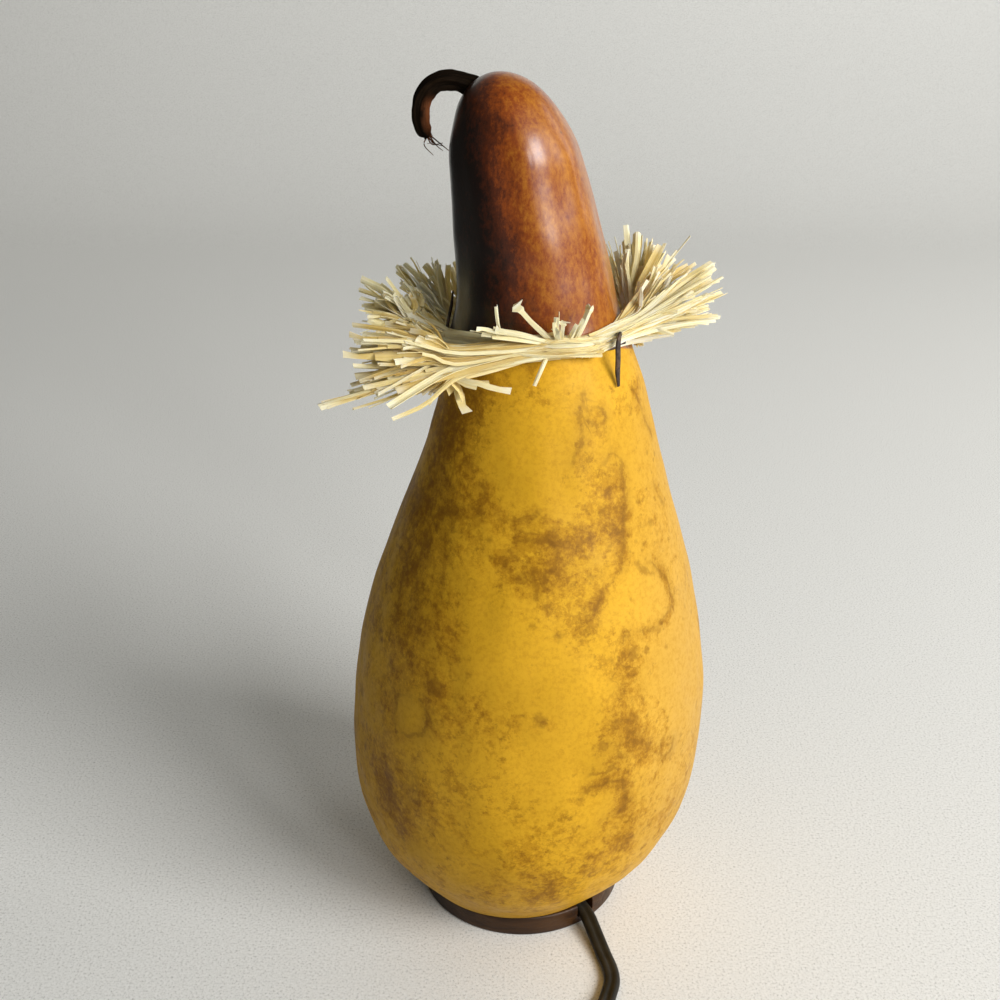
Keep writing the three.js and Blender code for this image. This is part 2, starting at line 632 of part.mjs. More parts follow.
// The plug: a moulded body that tapers back to its strain relief, with slots for the two blades
function plugBody() {
  const [x, y] = PLUG_REAR;
  const front = x - PLUG_RELIEF - PLUG_BODY;
  const rings = [
    [x, 4.6, 2.6], [x - PLUG_RELIEF * 0.8, 5.6, 3.4], [x - PLUG_RELIEF, 8.6, 5.2],
    [x - PLUG_RELIEF - 4, PLUG_WIDTH / 2, 7],
    [front + 1.2, PLUG_WIDTH / 2, 7], [front, PLUG_WIDTH / 2 - 1.2, 5.8],
  ].map(([at, wide, tall]) => {
    const corner = Math.min(wide, tall) * 0.45;
    return [
      [wide, tall - corner], [wide - corner, tall], [corner - wide, tall], [-wide, tall - corner],
      [-wide, corner - tall], [corner - wide, -tall], [wide - corner, -tall], [wide, corner - tall],
    ].map(([u, v]) => new THREE.Vector3(at, y + u, PLUG_CENTRE_HEIGHT + v));
  });
  const slots = [-1, 1].map((side) => solidOf(bladeBox(side, GAP)));
  return solidOf(lofted(rings)).subtract(slots[0]).subtract(slots[1]);
}

function bladeBox(side, margin) {
  const front = PLUG_REAR[0] - PLUG_RELIEF - PLUG_BODY;
  const length = BLADE_LENGTH + BLADE_SUNK + margin;
  const box = new THREE.BoxGeometry(length, BLADE_THICK + 2 * margin, BLADE_WIDTH + 2 * margin);
  const middle = front + BLADE_SUNK + margin - length / 2;
  return box.translate(middle, PLUG_REAR[1] + (side * BLADE_SPACING) / 2, PLUG_CENTRE_HEIGHT);
}

const golden = material('#c99a35', 0.45);
const straw = material('#dcc98f', 0.8);
const brownCord = material('#3a342c', 0.5);
const steel = material('#b9b6ae', 0.35, 1);
const brass = material('#c2a25a', 0.3, 1);
const black = material('#22201e', 0.5);

addPiece('gourd_shell', gourdShell(), golden);
addPiece('gourd_stem', geometryOf(stemBody()), material('#3a251a', 0.8));
addPiece('raffia_ruff', geometryOf(ruffBody()), straw);
addPiece('leather_thong', geometryOf(thongBody(0)), material('#33231a', 0.7));
addPiece('wood_foot', geometryOf(footBody()), material('#6b3a1c', 0.45));
addPiece('lamp_holder', geometryOf(holderBody()), material('#e6e1d5', 0.3));
screwPlaces.forEach((place, i) => addPiece(`holder_screw_${i + 1}`, screw(place), steel));
addPiece('bulb_cap', bulbCap(), brass);
addPiece('bulb_glass', bulbGlass(), material('#f2ead6', 0.15));
[-1, 1].forEach((side, i) => addPiece(`wire_${i + 1}`, wire(side), material('#2b2723', 0.5)));
addPiece('cord_lead', cordTube(CORD_ROUTE, 36), brownCord);
addPiece('cord_coil', geometryOf(coilBody()), brownCord);
addPiece('cord_tie', geometryOf(tieBody()), black);
addPiece('cord_tail', cordTube(TAIL_ROUTE, 6), brownCord);
addPiece('plug_body', geometryOf(plugBody()), brownCord);
[-1, 1].forEach((side, i) => addPiece(`plug_blade_${i + 1}`, bladeBox(side, 0), brass));

export default lamp;
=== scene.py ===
"""A dried bottle gourd made up as a small lamp: gourd, stem, straw ruff, thong, wooden foot and flat cord.

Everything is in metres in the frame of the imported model. The origin is the centre of the foot's underside, +Z
points up, and the lamp is seen from -Y, the side where the cord leaves. Tables give millimetres and degrees.
"""

import logging
import math
import random
from dataclasses import dataclass, field
from enum import Enum

import bpy
import numpy as np
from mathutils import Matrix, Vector, noise


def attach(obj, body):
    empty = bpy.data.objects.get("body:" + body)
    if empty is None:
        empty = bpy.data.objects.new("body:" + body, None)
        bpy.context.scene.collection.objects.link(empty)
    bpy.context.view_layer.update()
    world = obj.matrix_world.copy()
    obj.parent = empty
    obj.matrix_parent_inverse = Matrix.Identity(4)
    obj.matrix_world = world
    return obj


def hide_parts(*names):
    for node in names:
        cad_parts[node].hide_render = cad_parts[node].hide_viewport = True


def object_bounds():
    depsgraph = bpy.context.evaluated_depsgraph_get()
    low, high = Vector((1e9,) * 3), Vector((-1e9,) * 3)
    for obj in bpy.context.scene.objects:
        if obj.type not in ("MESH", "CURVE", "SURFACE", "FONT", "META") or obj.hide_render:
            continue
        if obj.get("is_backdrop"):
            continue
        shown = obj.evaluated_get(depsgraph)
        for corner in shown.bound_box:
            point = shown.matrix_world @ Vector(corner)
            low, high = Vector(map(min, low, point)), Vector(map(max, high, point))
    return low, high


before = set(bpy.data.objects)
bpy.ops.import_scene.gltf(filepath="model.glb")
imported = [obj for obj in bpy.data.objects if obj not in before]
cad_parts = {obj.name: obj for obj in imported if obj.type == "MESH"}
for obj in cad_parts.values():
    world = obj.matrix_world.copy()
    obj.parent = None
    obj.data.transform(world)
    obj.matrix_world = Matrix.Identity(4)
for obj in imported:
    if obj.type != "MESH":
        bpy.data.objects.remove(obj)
CAD_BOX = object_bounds()

LOG = logging.getLogger("gourd_lamp")
MM = 0.001
TURN = 2 * math.pi
UP = np.array((0.0, 0.0, 1.0))
BACK = np.array((0.0, 1.0, 0.0))
BODY = "root"
FOOT_RADIUS = 37.5
CORD_ANGLE = -51.4

Colour = tuple[float, float, float]
Point = tuple[float, float, float]
Table = tuple[tuple[float, float], ...]
Spot = tuple[float, float, float]
Piece = bpy.types.Object
Material = bpy.types.Material
Socket = bpy.types.NodeSocket
Value = float | Socket


def smooth_at(table: Table, place: float) -> float:
    """Reads a smooth value between the rows of a table.

    Args:
        table: Rows of place and value, by rising place.
        place: Where to read.

    Returns:
        The value of a cubic that passes through the rows.
    """
    last = len(table) - 1
    i = next((k for k, row in enumerate(table) if row[0] > place), last) - 1
    i = min(max(i, 0), last - 1)

    def slope(a: int, b: int) -> float:
        """Slope between two rows."""
        return (table[b][1] - table[a][1]) / (table[b][0] - table[a][0])

    step = table[i + 1][0] - table[i][0]
    t = min(max((place - table[i][0]) / step, 0.0), 1.0)
    middle = slope(i, i + 1)
    start = (slope(i - 1, i) + middle) / 2 if i > 0 else middle
    end = (slope(i + 1, i + 2) + middle) / 2 if i + 2 <= last else middle
    rise = table[i][1] * (2 * t**3 - 3 * t**2 + 1) + table[i + 1][1] * (3 * t**2 - 2 * t**3)
    return rise + step * (start * (t**3 - 2 * t**2 + t) + end * (t**3 - t**2))


def smooth_step(value: float, low: float, high: float) -> float:
    """Eases from 0 at low to 1 at high."""
    t = min(max((value - low) / (high - low), 0.0), 1.0)
    return t * t * (3 - 2 * t)


def smooth_line(points: list[Point] | np.ndarray, count: int) -> np.ndarray:
    """Draws a smooth line through points.

    Args:
        points: The points that it passes through.
        count: How many points to give back, evenly spaced along it.

    Returns:
        An array of count points.
    """
    p = np.asarray(points, float)
    p = np.vstack([2 * p[0] - p[1], p, 2 * p[-1] - p[-2]])
    fine = []
    for a, b, c, d in zip(p, p[1:], p[2:], p[3:]):
        for t in np.linspace(0, 1, 12, endpoint=False):
            fine.append(0.5 * (2 * b + (c - a) * t + (2 * a - 5 * b + 4 * c - d) * t**2
                               + (3 * b - a - 3 * c + d) * t**3))
    fine = np.array([*fine, p[-2]])
    along = np.r_[0, np.cumsum(np.linalg.norm(np.diff(fine, axis=0), axis=1))]
    at = np.linspace(0, along[-1], count)
    return np.column_stack([np.interp(at, along, fine[:, k]) for k in range(3)])


def unit(vectors: np.ndarray) -> np.ndarray:
    """Vectors at length 1."""
    return vectors / np.maximum(np.linalg.norm(vectors, axis=-1, keepdims=True), 1e-12)


def tangents(line: np.ndarray) -> np.ndarray:
    """Directions along a line of points."""
    return unit(np.gradient(line, axis=0))


@dataclass(frozen=True)
class SkinForm:
    """The form of the gourd's skin: radius by height, the wander of its axis, lobes and flutes, all in mm."""

    bottom: float = 8.3
    top: float = 295.0
    wall: float = 4.5
    neck_start: float = 190.0
    flute_count: int = 8
    flute_depth: float = 0.35
    lobe_count: int = 3
    lobe_depth: float = 0.7
    profile: Table = (
        (8.3, 37.6), (16, 44), (28, 53.4), (44, 60.1), (60, 62.8), (76, 63.2), (92, 62.2), (110, 59.5),
        (130, 54.4), (150, 47.9), (170, 41.2), (190, 35.3), (205, 31.5), (214, 29.1), (224, 26.2),
        (236, 24.3), (250, 22.5), (264, 20.9), (276, 18.9), (285, 15.1), (291.5, 9.5), (295, 0),
    )
    axis: Table = (
        (8, -2.2), (50, 0.7), (90, 2.6), (130, 3.8), (165, 5.5), (195, 6), (215, 4.6), (235, 2.9),
        (260, -1.3), (295, -7.9),
    )

    def radius(self, height: float) -> float:
        """Radius of the skin; its square is what is smoothed, so that the crown closes round."""
        squared = tuple((z, r * r) for z, r in self.profile)
        return math.sqrt(max(0.0, smooth_at(squared, height)))

    def axis_x(self, height: float) -> float:
        """Where the gourd's axis lies at a height."""
        return smooth_at(self.axis, height)

    def relief(self, height: float, angle: float) -> float:
        """How far the skin stands out of a plain round: soft flutes on the neck, lobes below."""
        rise = smooth_step(height, self.neck_start, self.neck_start + 40)
        neck = rise * (1 - smooth_step(height, 270, 290))
        body = math.sin(math.pi * min(max(height / self.neck_start, 0), 1))
        flutes = self.flute_depth * neck * math.sin(self.flute_count * angle)
        return flutes + self.lobe_depth * body * math.sin(self.lobe_count * angle)

    def point(self, degrees: float, height: float, away: float = 0.0) -> np.ndarray:
        """Finds a place on or off the skin.

        Args:
            degrees: The angle round the gourd's axis, from +X.
            height: Its height in mm.
            away: How far it stands out of the skin, in mm.

        Returns:
            The point in metres.
        """
        angle = math.radians(degrees)
        radius = self.radius(height) + self.relief(height, angle) + away
        x = self.axis_x(height) + radius * math.cos(angle)
        return np.array((x, radius * math.sin(angle), height)) * MM

    def kept_out(self, points: np.ndarray, clear: float) -> np.ndarray:
        """Moves points that lie in the gourd out of it.

        Args:
            points: Points in metres.
            clear: How far off the skin they end, in mm.

        Returns:
            The moved points.
        """
        moved = points.copy()
        for k, (x, y, z) in enumerate(points / MM):
            height = min(max(z, self.bottom), self.top)
            angle = math.atan2(y, x - self.axis_x(height))
            least = self.radius(height) + self.relief(height, angle) + clear
            if math.hypot(x - self.axis_x(height), y) < least:
                moved[k, :2] = self.point(math.degrees(angle), height, clear)[:2]
        return moved


SKIN = SkinForm()


@dataclass(frozen=True)
class Waist:
    """The plane of the waist, where the thong ties the straw; it falls towards the back. In mm."""

    height: float = 213.5
    slope: float = -0.2

    def point(self, degrees: float, away: float, lift: float = 0.0) -> np.ndarray:
        """Finds a place round the waist.

        Args:
            degrees: The angle round the neck, from +X.
            away: How far it stands out of the skin, in mm.
            lift: How far it lies above the waist's plane, in mm.

        Returns:
            The point in metres.
        """
        angle = math.radians(degrees)
        y = 30 * math.sin(angle)
        for _ in range(4):
            height = self.height + self.slope * y + lift
            y = (SKIN.radius(height) + away) * math.sin(angle)
        return SKIN.point(degrees, height, away)


WAIST = Waist()


def nothing_selected() -> None:
    """Leaves edit mode and deselects every object."""
    if bpy.context.object and bpy.context.object.mode != "OBJECT":
        bpy.ops.object.mode_set(mode="OBJECT")
    bpy.ops.object.select_all(action="DESELECT")


def only(piece: Piece) -> Piece:
    """Makes a piece the only selected one, and the active one."""
    nothing_selected()
    piece.select_set(True)
    bpy.context.view_layer.objects.active = piece
    return piece


def edit(piece: Piece, faces: bool = False) -> None:
    """Opens a piece in edit mode, to work on its points or on its faces."""
    only(piece)
    bpy.context.tool_settings.mesh_select_mode = (not faces, False, faces)
    bpy.ops.object.mode_set(mode="EDIT")


def named(name: str) -> Piece:
    """Gives the newest object, and its mesh, a name."""
    piece = bpy.context.object
    piece.name = name
    piece.data.name = name
    return piece


def points_of(mesh: bpy.types.Mesh) -> np.ndarray:
    """The mesh's points as an array."""
    points = np.empty(len(mesh.vertices) * 3)
    mesh.vertices.foreach_get("co", points)
    return points.reshape(-1, 3)


def set_points(mesh: bpy.types.Mesh, points: np.ndarray) -> None:
    """Moves the mesh's points to the places in an array."""
    mesh.vertices.foreach_set("co", np.asarray(points, float).ravel())
    mesh.update()


def set_attribute(mesh: bpy.types.Mesh, name: str, values: np.ndarray) -> None:
    """Writes one number for each point of the mesh under a name."""
    mesh.attributes.new(name, "FLOAT", "POINT").data.foreach_set("value", np.asarray(values, float).ravel())


def apply(piece: Piece, kind: str, **settings: object) -> None:
    """Adds a modifier to a piece and applies it.

    Args:
        piece: The piece.
        kind: Blender's name of the modifier.
        settings: The modifier's settings.
    """
    only(piece)
    modifier = piece.modifiers.new(kind.title(), kind)
    for name, value in settings.items():
        setattr(modifier, name, value)
    bpy.ops.object.modifier_apply(modifier=modifier.name)


def tidied(piece: Piece, fill: bool = False, reach: float = 1e-6) -> None:
    """Merges a piece's doubled points, closes its holes if asked to, and turns its faces outwards.

    Args:
        piece: The piece.
        fill: Whether to close its open ends.
        reach: How near two points are merged, in metres.
    """
    edit(piece)
    bpy.ops.mesh.select_all(action="SELECT")
    bpy.ops.mesh.remove_doubles(threshold=reach)
    if fill:
        bpy.ops.mesh.fill_holes(sides=0)
    bpy.ops.mesh.normals_make_consistent(inside=False)
    bpy.ops.object.mode_set(mode="OBJECT")


def turned(name: str, profile: list[tuple[float, float]], steps: int) -> Piece:
    """Turns a profile about +Z: one point is extruded along it and the line is spun round.

    Args:
        name: The piece's name.
        profile: Radius and height of each point, in mm.
        steps: How many steps the spin has.

    Returns:
        The closed piece.
    """
    nothing_selected()
    bpy.ops.mesh.primitive_plane_add(size=MM)
    piece = named(name)
    edit(piece)
    bpy.ops.mesh.select_all(action="SELECT")
    bpy.ops.mesh.merge(type="CENTER")
    (radius, height), *rest = profile
    bpy.ops.transform.translate(value=(radius * MM, 0, height * MM))
    for r, z in rest:
        move = ((r - radius) * MM, 0, (z - height) * MM)
        bpy.ops.mesh.extrude_region_move(TRANSFORM_OT_translate={"value": move})
        radius, height = r, z
    bpy.ops.mesh.select_all(action="SELECT")
    bpy.ops.mesh.spin(steps=steps, angle=TURN, center=(0, 0, 0), axis=(0, 0, 1))
    bpy.ops.object.mode_set(mode="OBJECT")
    tidied(piece)
    return piece


def spun(points: np.ndarray, degrees: float) -> np.ndarray:
    """Points turned about +Z."""
    c, s = math.cos(math.radians(degrees)), math.sin(math.radians(degrees))
    return points @ np.array(((c, s, 0), (-s, c, 0), (0, 0, 1)))


def block(name: str, size: Point, middle: np.ndarray, degrees: float = 0.0) -> Piece:
    """Models a block.

    Args:
        name: Its name.
        size: Its size in mm.
        middle: Where its middle lies, in mm.
        degrees: How far it is turned about +Z.

    Returns:
        The block.
    """
    nothing_selected()
    bpy.ops.mesh.primitive_cube_add(size=1)
    piece = named(name)
    box = points_of(piece.data) * np.array(size) * MM
    set_points(piece.data, spun(box, degrees) + middle * MM)
    return piece


def grid(name: str, across: int, along: int, size: float = 1.0) -> Piece:
    """Models a flat grid about the origin, so many faces across and along."""
    nothing_selected()
    bpy.ops.mesh.primitive_grid_add(x_subdivisions=across, y_subdivisions=along, size=size)
    return named(name)


def rolled(name: str, rings: np.ndarray, fill: bool = True) -> Piece:
    """Rolls a flat grid up into a tube, and closes its ends.

    Args:
        name: The piece's name.
        rings: The points of each ring, as an array of stations, points round and 3.
        fill: Whether to close the ends.

    Returns:
        The tube, with its UV map round and along it.
    """
    stations, around = rings.shape[:2]
    piece = grid(name, around, stations - 1)
    flat = points_of(piece.data)
    column = np.rint((flat[:, 0] + 0.5) * around).astype(int) % around
    row = np.rint((flat[:, 1] + 0.5) * (stations - 1)).astype(int)
    set_points(piece.data, rings[row, column])
    tidied(piece, fill=fill)
    return piece


def swept(line: np.ndarray, section: np.ndarray, roll: np.ndarray | float = 0.0,
          size: np.ndarray | float = 1.0, facing: np.ndarray = UP) -> np.ndarray:
    """Carries a section along a line.

    Args:
        line: The line's points.
        section: Points of the section, across and up, in metres.
        roll: Turn of the section about the line at each station, in radians.
        size: Scale of the section at each station.
        facing: Where the section's top faces, as one direction or one for each station.

    Returns:
        The points of each ring.
    """
    along = tangents(line)
    side = unit(np.cross(along, facing))
    over = np.cross(side, along)
    roll = np.broadcast_to(roll, len(line))[:, None]
    size = np.broadcast_to(size, len(line))[:, None, None]
    across = np.cos(roll) * side + np.sin(roll) * over
    upward = -np.sin(roll) * side + np.cos(roll) * over
    spread = section[None, :, :1] * across[:, None] + section[None, :, 1:] * upward[:, None]
    return line[:, None] + size * spread


def joined(name: str, parts: list[Piece]) -> Piece:
    """Joins pieces of one kind into one object."""
    only(parts[0])
    for part in parts[1:]:
        part.select_set(True)
    bpy.ops.object.join()
    return named(name)


def dressed(piece: Piece, material: Material, slot: str, *nodes: str, angle: float = 40.0) -> Piece:
    """Gives a finished piece its material and body, and hides the CAD nodes that it stands for.

    Args:
        piece: The piece.
        material: Its material.
        slot: The record's material slot; not used.
        nodes: The CAD nodes that it stands for.
        angle: Edges sharper than this many degrees stay sharp.

    Returns:
        The piece.
    """
    only(piece)
    bpy.ops.object.shade_smooth_by_angle(angle=math.radians(angle))
    piece.data.materials.clear()
    piece.data.materials.append(material)
    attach(piece, BODY)
    if nodes:
        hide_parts(*nodes)
    faces = sum(len(p.vertices) - 2 for p in piece.data.polygons)
    LOG.info("%s: %d triangles", piece.name, faces)
    return piece


class Graph:
    """A material's node graph, with short calls for the nodes that the finishes use."""

    def __init__(self, name: str) -> None:
        """Starts a material with a Principled shader."""
        self.material = bpy.data.materials.new(name)
        self.material.use_nodes = True
        self.tree = self.material.node_tree
        self.tree.nodes.clear()
        self.shader = self.add("ShaderNodeBsdfPrincipled")
        output = self.add("ShaderNodeOutputMaterial")
        self.tree.links.new(self.shader.outputs[0], output.inputs[0])
        coordinates = self.add("ShaderNodeTexCoord")
        self.place = coordinates.outputs["Object"]
        self.uv = coordinates.outputs["UV"]

    def add(self, kind: str, **settings: object) -> bpy.types.Node:
        """Adds a node with its settings."""
        node = self.tree.nodes.new(kind)
        for name, value in settings.items():
            setattr(node, name, value)
        return node

    def feed(self, socket: Socket, value: object) -> None:
        """Links a socket, or sets its value."""
        if isinstance(value, Socket):
            self.tree.links.new(value, socket)
        elif isinstance(value, tuple) and len(value) == 3 and socket.type == "RGBA":
            socket.default_value = (*value, 1.0)
        else:
            socket.default_value = value

    def math(self, operation: str, a: Value, b: Value = 0.0, clamp: bool = False) -> Socket:
        """One sum on one or two numbers."""
        node = self.add("ShaderNodeMath", operation=operation, use_clamp=clamp)
        self.feed(node.inputs[0], a)
        self.feed(node.inputs[1], b)
        return node.outputs[0]

    def total(self, *values: Value) -> Socket:
        """The sum of several numbers."""
        result = values[0]
        for value in values[1:]:
            result = self.math("ADD", result, value)
        return result

    def times(self, *values: Value) -> Socket:
        """The product of several numbers."""
        result = values[0]
        for value in values[1:]:
            result = self.math("MULTIPLY", result, value)
        return result

    def swing(self, value: Socket, reach: float) -> Socket:
        """A noise taken about its middle, so that it swings to both sides of zero."""
        return self.times(self.math("SUBTRACT", value, 0.5), reach)

    def step(self, value: Value, low: float, high: float, out: tuple[float, float] = (0.0, 1.0)) -> Socket:
        """Eases a number from out's first value at low to its second at high."""
        node = self.add("ShaderNodeMapRange", interpolation_type="SMOOTHSTEP")
        for socket, number in zip(node.inputs, (value, low, high, *out)):
            self.feed(socket, number)
        return node.outputs[0]

    def stretched(self, scale: Point, at: Socket | None = None) -> Socket:
        """Coordinates with their own scale along each axis."""
        node = self.add("ShaderNodeMapping")
        self.feed(node.inputs["Vector"], at or self.place)
        node.inputs["Scale"].default_value = scale
        return node.outputs[0]

    def noise(self, scale: float, detail: float = 2.0, roughness: float = 0.5, distortion: float = 0.0,
              at: Socket | None = None) -> Socket:
        """Cloudy noise from 0 to 1, on Object coordinates unless others are given."""
        node = self.add("ShaderNodeTexNoise")
        self.feed(node.inputs["Vector"], at or self.place)
        for name, value in (("Scale", scale), ("Detail", detail), ("Roughness", roughness),
                            ("Distortion", distortion)):
            node.inputs[name].default_value = value
        return node.outputs[0]

    def cells(self, scale: float, at: Socket | None = None) -> tuple[Socket, Socket]:
        """Distance to the nearest scattered dot, and that dot's own random colour."""
        node = self.add("ShaderNodeTexVoronoi")
        self.feed(node.inputs["Vector"], at or self.place)
        node.inputs["Scale"].default_value = scale
        return node.outputs["Distance"], node.outputs["Color"]

    def waves(self, scale: float, distortion: float, at: Socket | None = None) -> Socket:
        """Bands along the first axis."""
        node = self.add("ShaderNodeTexWave")
        self.feed(node.inputs["Vector"], at or self.place)
        node.inputs["Scale"].default_value = scale
        node.inputs["Distortion"].default_value = distortion
        return node.outputs["Fac"]

    def attribute(self, name: str) -> Socket:
        """A number stored on the mesh."""
        return self.add("ShaderNodeAttribute", attribute_name=name).outputs["Fac"]

    def axis(self, at: Socket | None = None) -> tuple[Socket, Socket, Socket]:
        """The three parts of a coordinate."""
        node = self.add("ShaderNodeSeparateXYZ")
        self.feed(node.inputs[0], at or self.place)
        return tuple(node.outputs)

    def mix(self, share: Value, a: Colour | Socket, b: Colour | Socket, how: str = "MIX") -> Socket:
        """Mixes colour b over colour a."""
        node = self.add("ShaderNodeMix", data_type="RGBA", blend_type=how)
        node.clamp_factor = True
        self.feed(node.inputs[0], share)
        self.feed(node.inputs[6], a)
        self.feed(node.inputs[7], b)
        return node.outputs[2]

    def ramp(self, value: Value, *stops: tuple[float, Colour]) -> Socket:
        """A colour read off a ramp of stops."""
        node = self.add("ShaderNodeValToRGB")
        self.feed(node.inputs[0], value)
        while len(node.color_ramp.elements) < len(stops):
            node.color_ramp.elements.new(0.5)
        for element, (place, colour) in zip(node.color_ramp.elements, stops):
            element.position = place
            element.color = (*colour, 1.0)
        return node.outputs[0]

    def bump(self, height: Socket, depth: float, under: Socket | None = None) -> Socket:
        """A normal raised by a height from 0 to 1, over another one if given; depth is in metres."""
        node = self.add("ShaderNodeBump")
        node.inputs["Distance"].default_value = depth
        self.feed(node.inputs["Height"], height)
        if under:
            self.feed(node.inputs["Normal"], under)
        return node.outputs[0]

    def finish(self, colour: Colour | Socket, roughness: Value, normal: Socket | None = None,
               **constants: float) -> Material:
        """Feeds the shader.

        Args:
            colour: Its base colour.
            roughness: Its roughness.
            normal: Its normal, if it has bumps.
            constants: Other sockets by name, with _ for a space, set to plain numbers.

        Returns:
            The material.
        """
        self.feed(self.shader.inputs["Base Color"], colour)
        self.feed(self.shader.inputs["Roughness"], roughness)
        if normal:
            self.feed(self.shader.inputs["Normal"], normal)
        for name, value in constants.items():
            self.shader.inputs[name.replace("_", " ")].default_value = value
        return self.material


@dataclass(frozen=True)
class GourdSkin:
    """The gourd's skin: golden with mould stains below the waist, stained glossy red-brown above it."""

    ochre: Colour = (0.56, 0.305, 0.013)
    gold: Colour = (0.64, 0.35, 0.016)
    # pale: partly the rind's own tan, partly painted sheen on the lit right side.
    pale: Colour = (0.53, 0.325, 0.085)
    brown: Colour = (0.385, 0.175, 0.005)
    olive: Colour = (0.195, 0.082, 0.003)
    stain_height: float = 210.0
    stain_slope: float = 0.3
    lean: float = 0.18
    darkest: Colour = (0.009, 0.002, 0.0005)
    mahogany: Colour = (0.068, 0.012, 0.001)
    red_brown: Colour = (0.21, 0.042, 0.002)
    amber: Colour = (0.41, 0.15, 0.011)

    def mould_and_shade(self, g: Graph) -> Socket:
        """How mouldy a place is: the placed clouds, broken up by noise, and browner on the left, the side away
        from the lights, as partly painted shade.
        """
        clouds = g.noise(50, detail=5, roughness=0.62, distortion=0.9)
        mottle = g.noise(190, detail=5, roughness=0.72)
        specks = g.noise(480, detail=3, roughness=0.8)
        # The left side, away from the lights, is made browner: partly mould, partly painted shade.
        left = g.step(g.axis()[0], -0.02, -0.055)
        return g.total(
            g.times(g.attribute("mould"), 1.15), g.swing(clouds, 1.7), g.swing(mottle, 2.0),
            g.swing(specks, 1.9), g.times(left, 0.16), 0.05,
        )

    def body(self, g: Graph) -> Socket:
        """Colour of the golden part, with its mould: clouds, tide marks, drying lines, rings and dots, and
        paler on the lit right side as partly painted sheen.
        """
        clouds = g.noise(24, detail=4, roughness=0.55)
        grains = g.noise(640, detail=3, roughness=0.75)
        blots = g.noise(310, detail=3, roughness=0.7)
        colour = g.mix(g.step(clouds, 0.38, 0.62), self.ochre, self.gold)
        # The right side, towards the lights, is mixed paler: partly pale rind, partly painted sheen.
        colour = g.mix(g.times(g.step(g.axis()[0], 0.02, 0.062), 0.6), colour, self.pale)
        mould_and_shade = self.mould_and_shade(g)
        colour = g.mix(g.step(mould_and_shade, -0.05, 0.85, (0.0, 0.85)), colour, self.brown)
        colour = g.mix(g.step(mould_and_shade, 0.3, 1.25, (0.0, 0.9)), colour, self.olive)
        away = g.math("ABSOLUTE", g.math("SUBTRACT", mould_and_shade, 0.33))
        tide = g.times(g.step(away, 0.10, 0.0), g.step(g.noise(47, detail=2), 0.42, 0.6), 0.26)
        colour = g.mix(tide, colour, self.olive)
        colour = g.mix(g.times(g.step(grains, 0.40, 0.72), 0.42), colour, self.brown)
        colour = g.mix(g.times(g.step(blots, 0.52, 0.70), g.step(mould_and_shade, -0.25, 0.35), 0.5), colour, self.olive)
        return g.mix(self.marks(g), colour, self.olive)

    def marks(self, g: Graph) -> Socket:
        """How strong the drying lines, mould rings and dots are."""
        wobble = g.total(g.swing(g.noise(300, detail=3), 0.0030), g.swing(g.noise(1200, detail=2), 0.0012))
        gap = g.attribute("line_gap")
        side = g.math("ABSOLUTE", g.math("ADD", g.attribute("line_side"), wobble))
        broken = g.step(g.noise(90, detail=2), 0.36, 0.58, (0.25, 1.0))
        thin = g.times(g.step(side, 0.0011, 0.0002), g.step(gap, 0.0030, 0.0018), broken, 0.38)
        soft = g.times(g.step(gap, 0.005, 0.0005), broken, 0.2)
        contour = g.math("ABSOLUTE", g.math("SUBTRACT", g.noise(150, detail=1, distortion=1.2), 0.52))
        where = g.step(g.noise(26, detail=1), 0.48, 0.62)
        rings = g.times(g.step(contour, 0.05, 0.005), where, g.step(g.attribute("mould"), 0.0, 0.3), 0.42)
        near, tone = g.cells(260)
        size = g.times(g.step(g.axis(tone)[0], 0.3, 1.0), 0.25)
        dot = g.step(g.math("SUBTRACT", near, size), 0.12, -0.06)
        dots = g.times(dot, g.step(g.noise(34, detail=2), 0.5, 0.66), 0.4)
        spot = g.times(g.step(g.math("ADD", g.attribute("spot_gap"), wobble), 0.0010, -0.0006), 0.5)
        drawn = g.math("MAXIMUM", g.math("ADD", thin, soft), spot)
        return g.math("MAXIMUM", g.math("MAXIMUM", drawn, rings), dots)

    def neck(self, g: Graph) -> Socket:
        """Colour of the stained part: mottled and streaked, from near black on the left to amber on the right;
        this sweep is partly the stain, partly painted shade on the left and painted light on the right.
        """
        x, _, z = g.axis()
        x = g.total(x, g.times(z, self.lean), -0.251 * self.lean)
        streaks = g.noise(1, detail=4, roughness=0.6, distortion=0.4, at=g.stretched((95, 95, 16)))
        clouds = g.noise(60, detail=4, roughness=0.65)
        fine = g.noise(1, detail=4, roughness=0.8, at=g.stretched((620, 620, 380)))
        depth = g.total(
            g.times(streaks, 0.45), g.times(clouds, 0.45), g.times(fine, 0.8), -0.13,
            # The two steps along x darken the left as painted shade and lift the right towards amber as painted
            # light, over the stain's own change.
            g.step(x, -0.018, 0.0035, (-0.70, -0.07)), g.step(x, -0.002, 0.024, (0.0, 0.10)),
        )
        colour = g.ramp(depth, (0.10, self.darkest), (0.36, self.mahogany), (0.58, self.red_brown),
                        (0.88, self.amber))
        near, tone = g.cells(190)
        size = g.times(g.step(g.axis(tone)[0], 0.75, 1.0), 0.16)
        dots = g.step(g.math("SUBTRACT", near, size), 0.05, 0.0)
        return g.mix(g.times(dots, 0.55), colour, self.darkest)

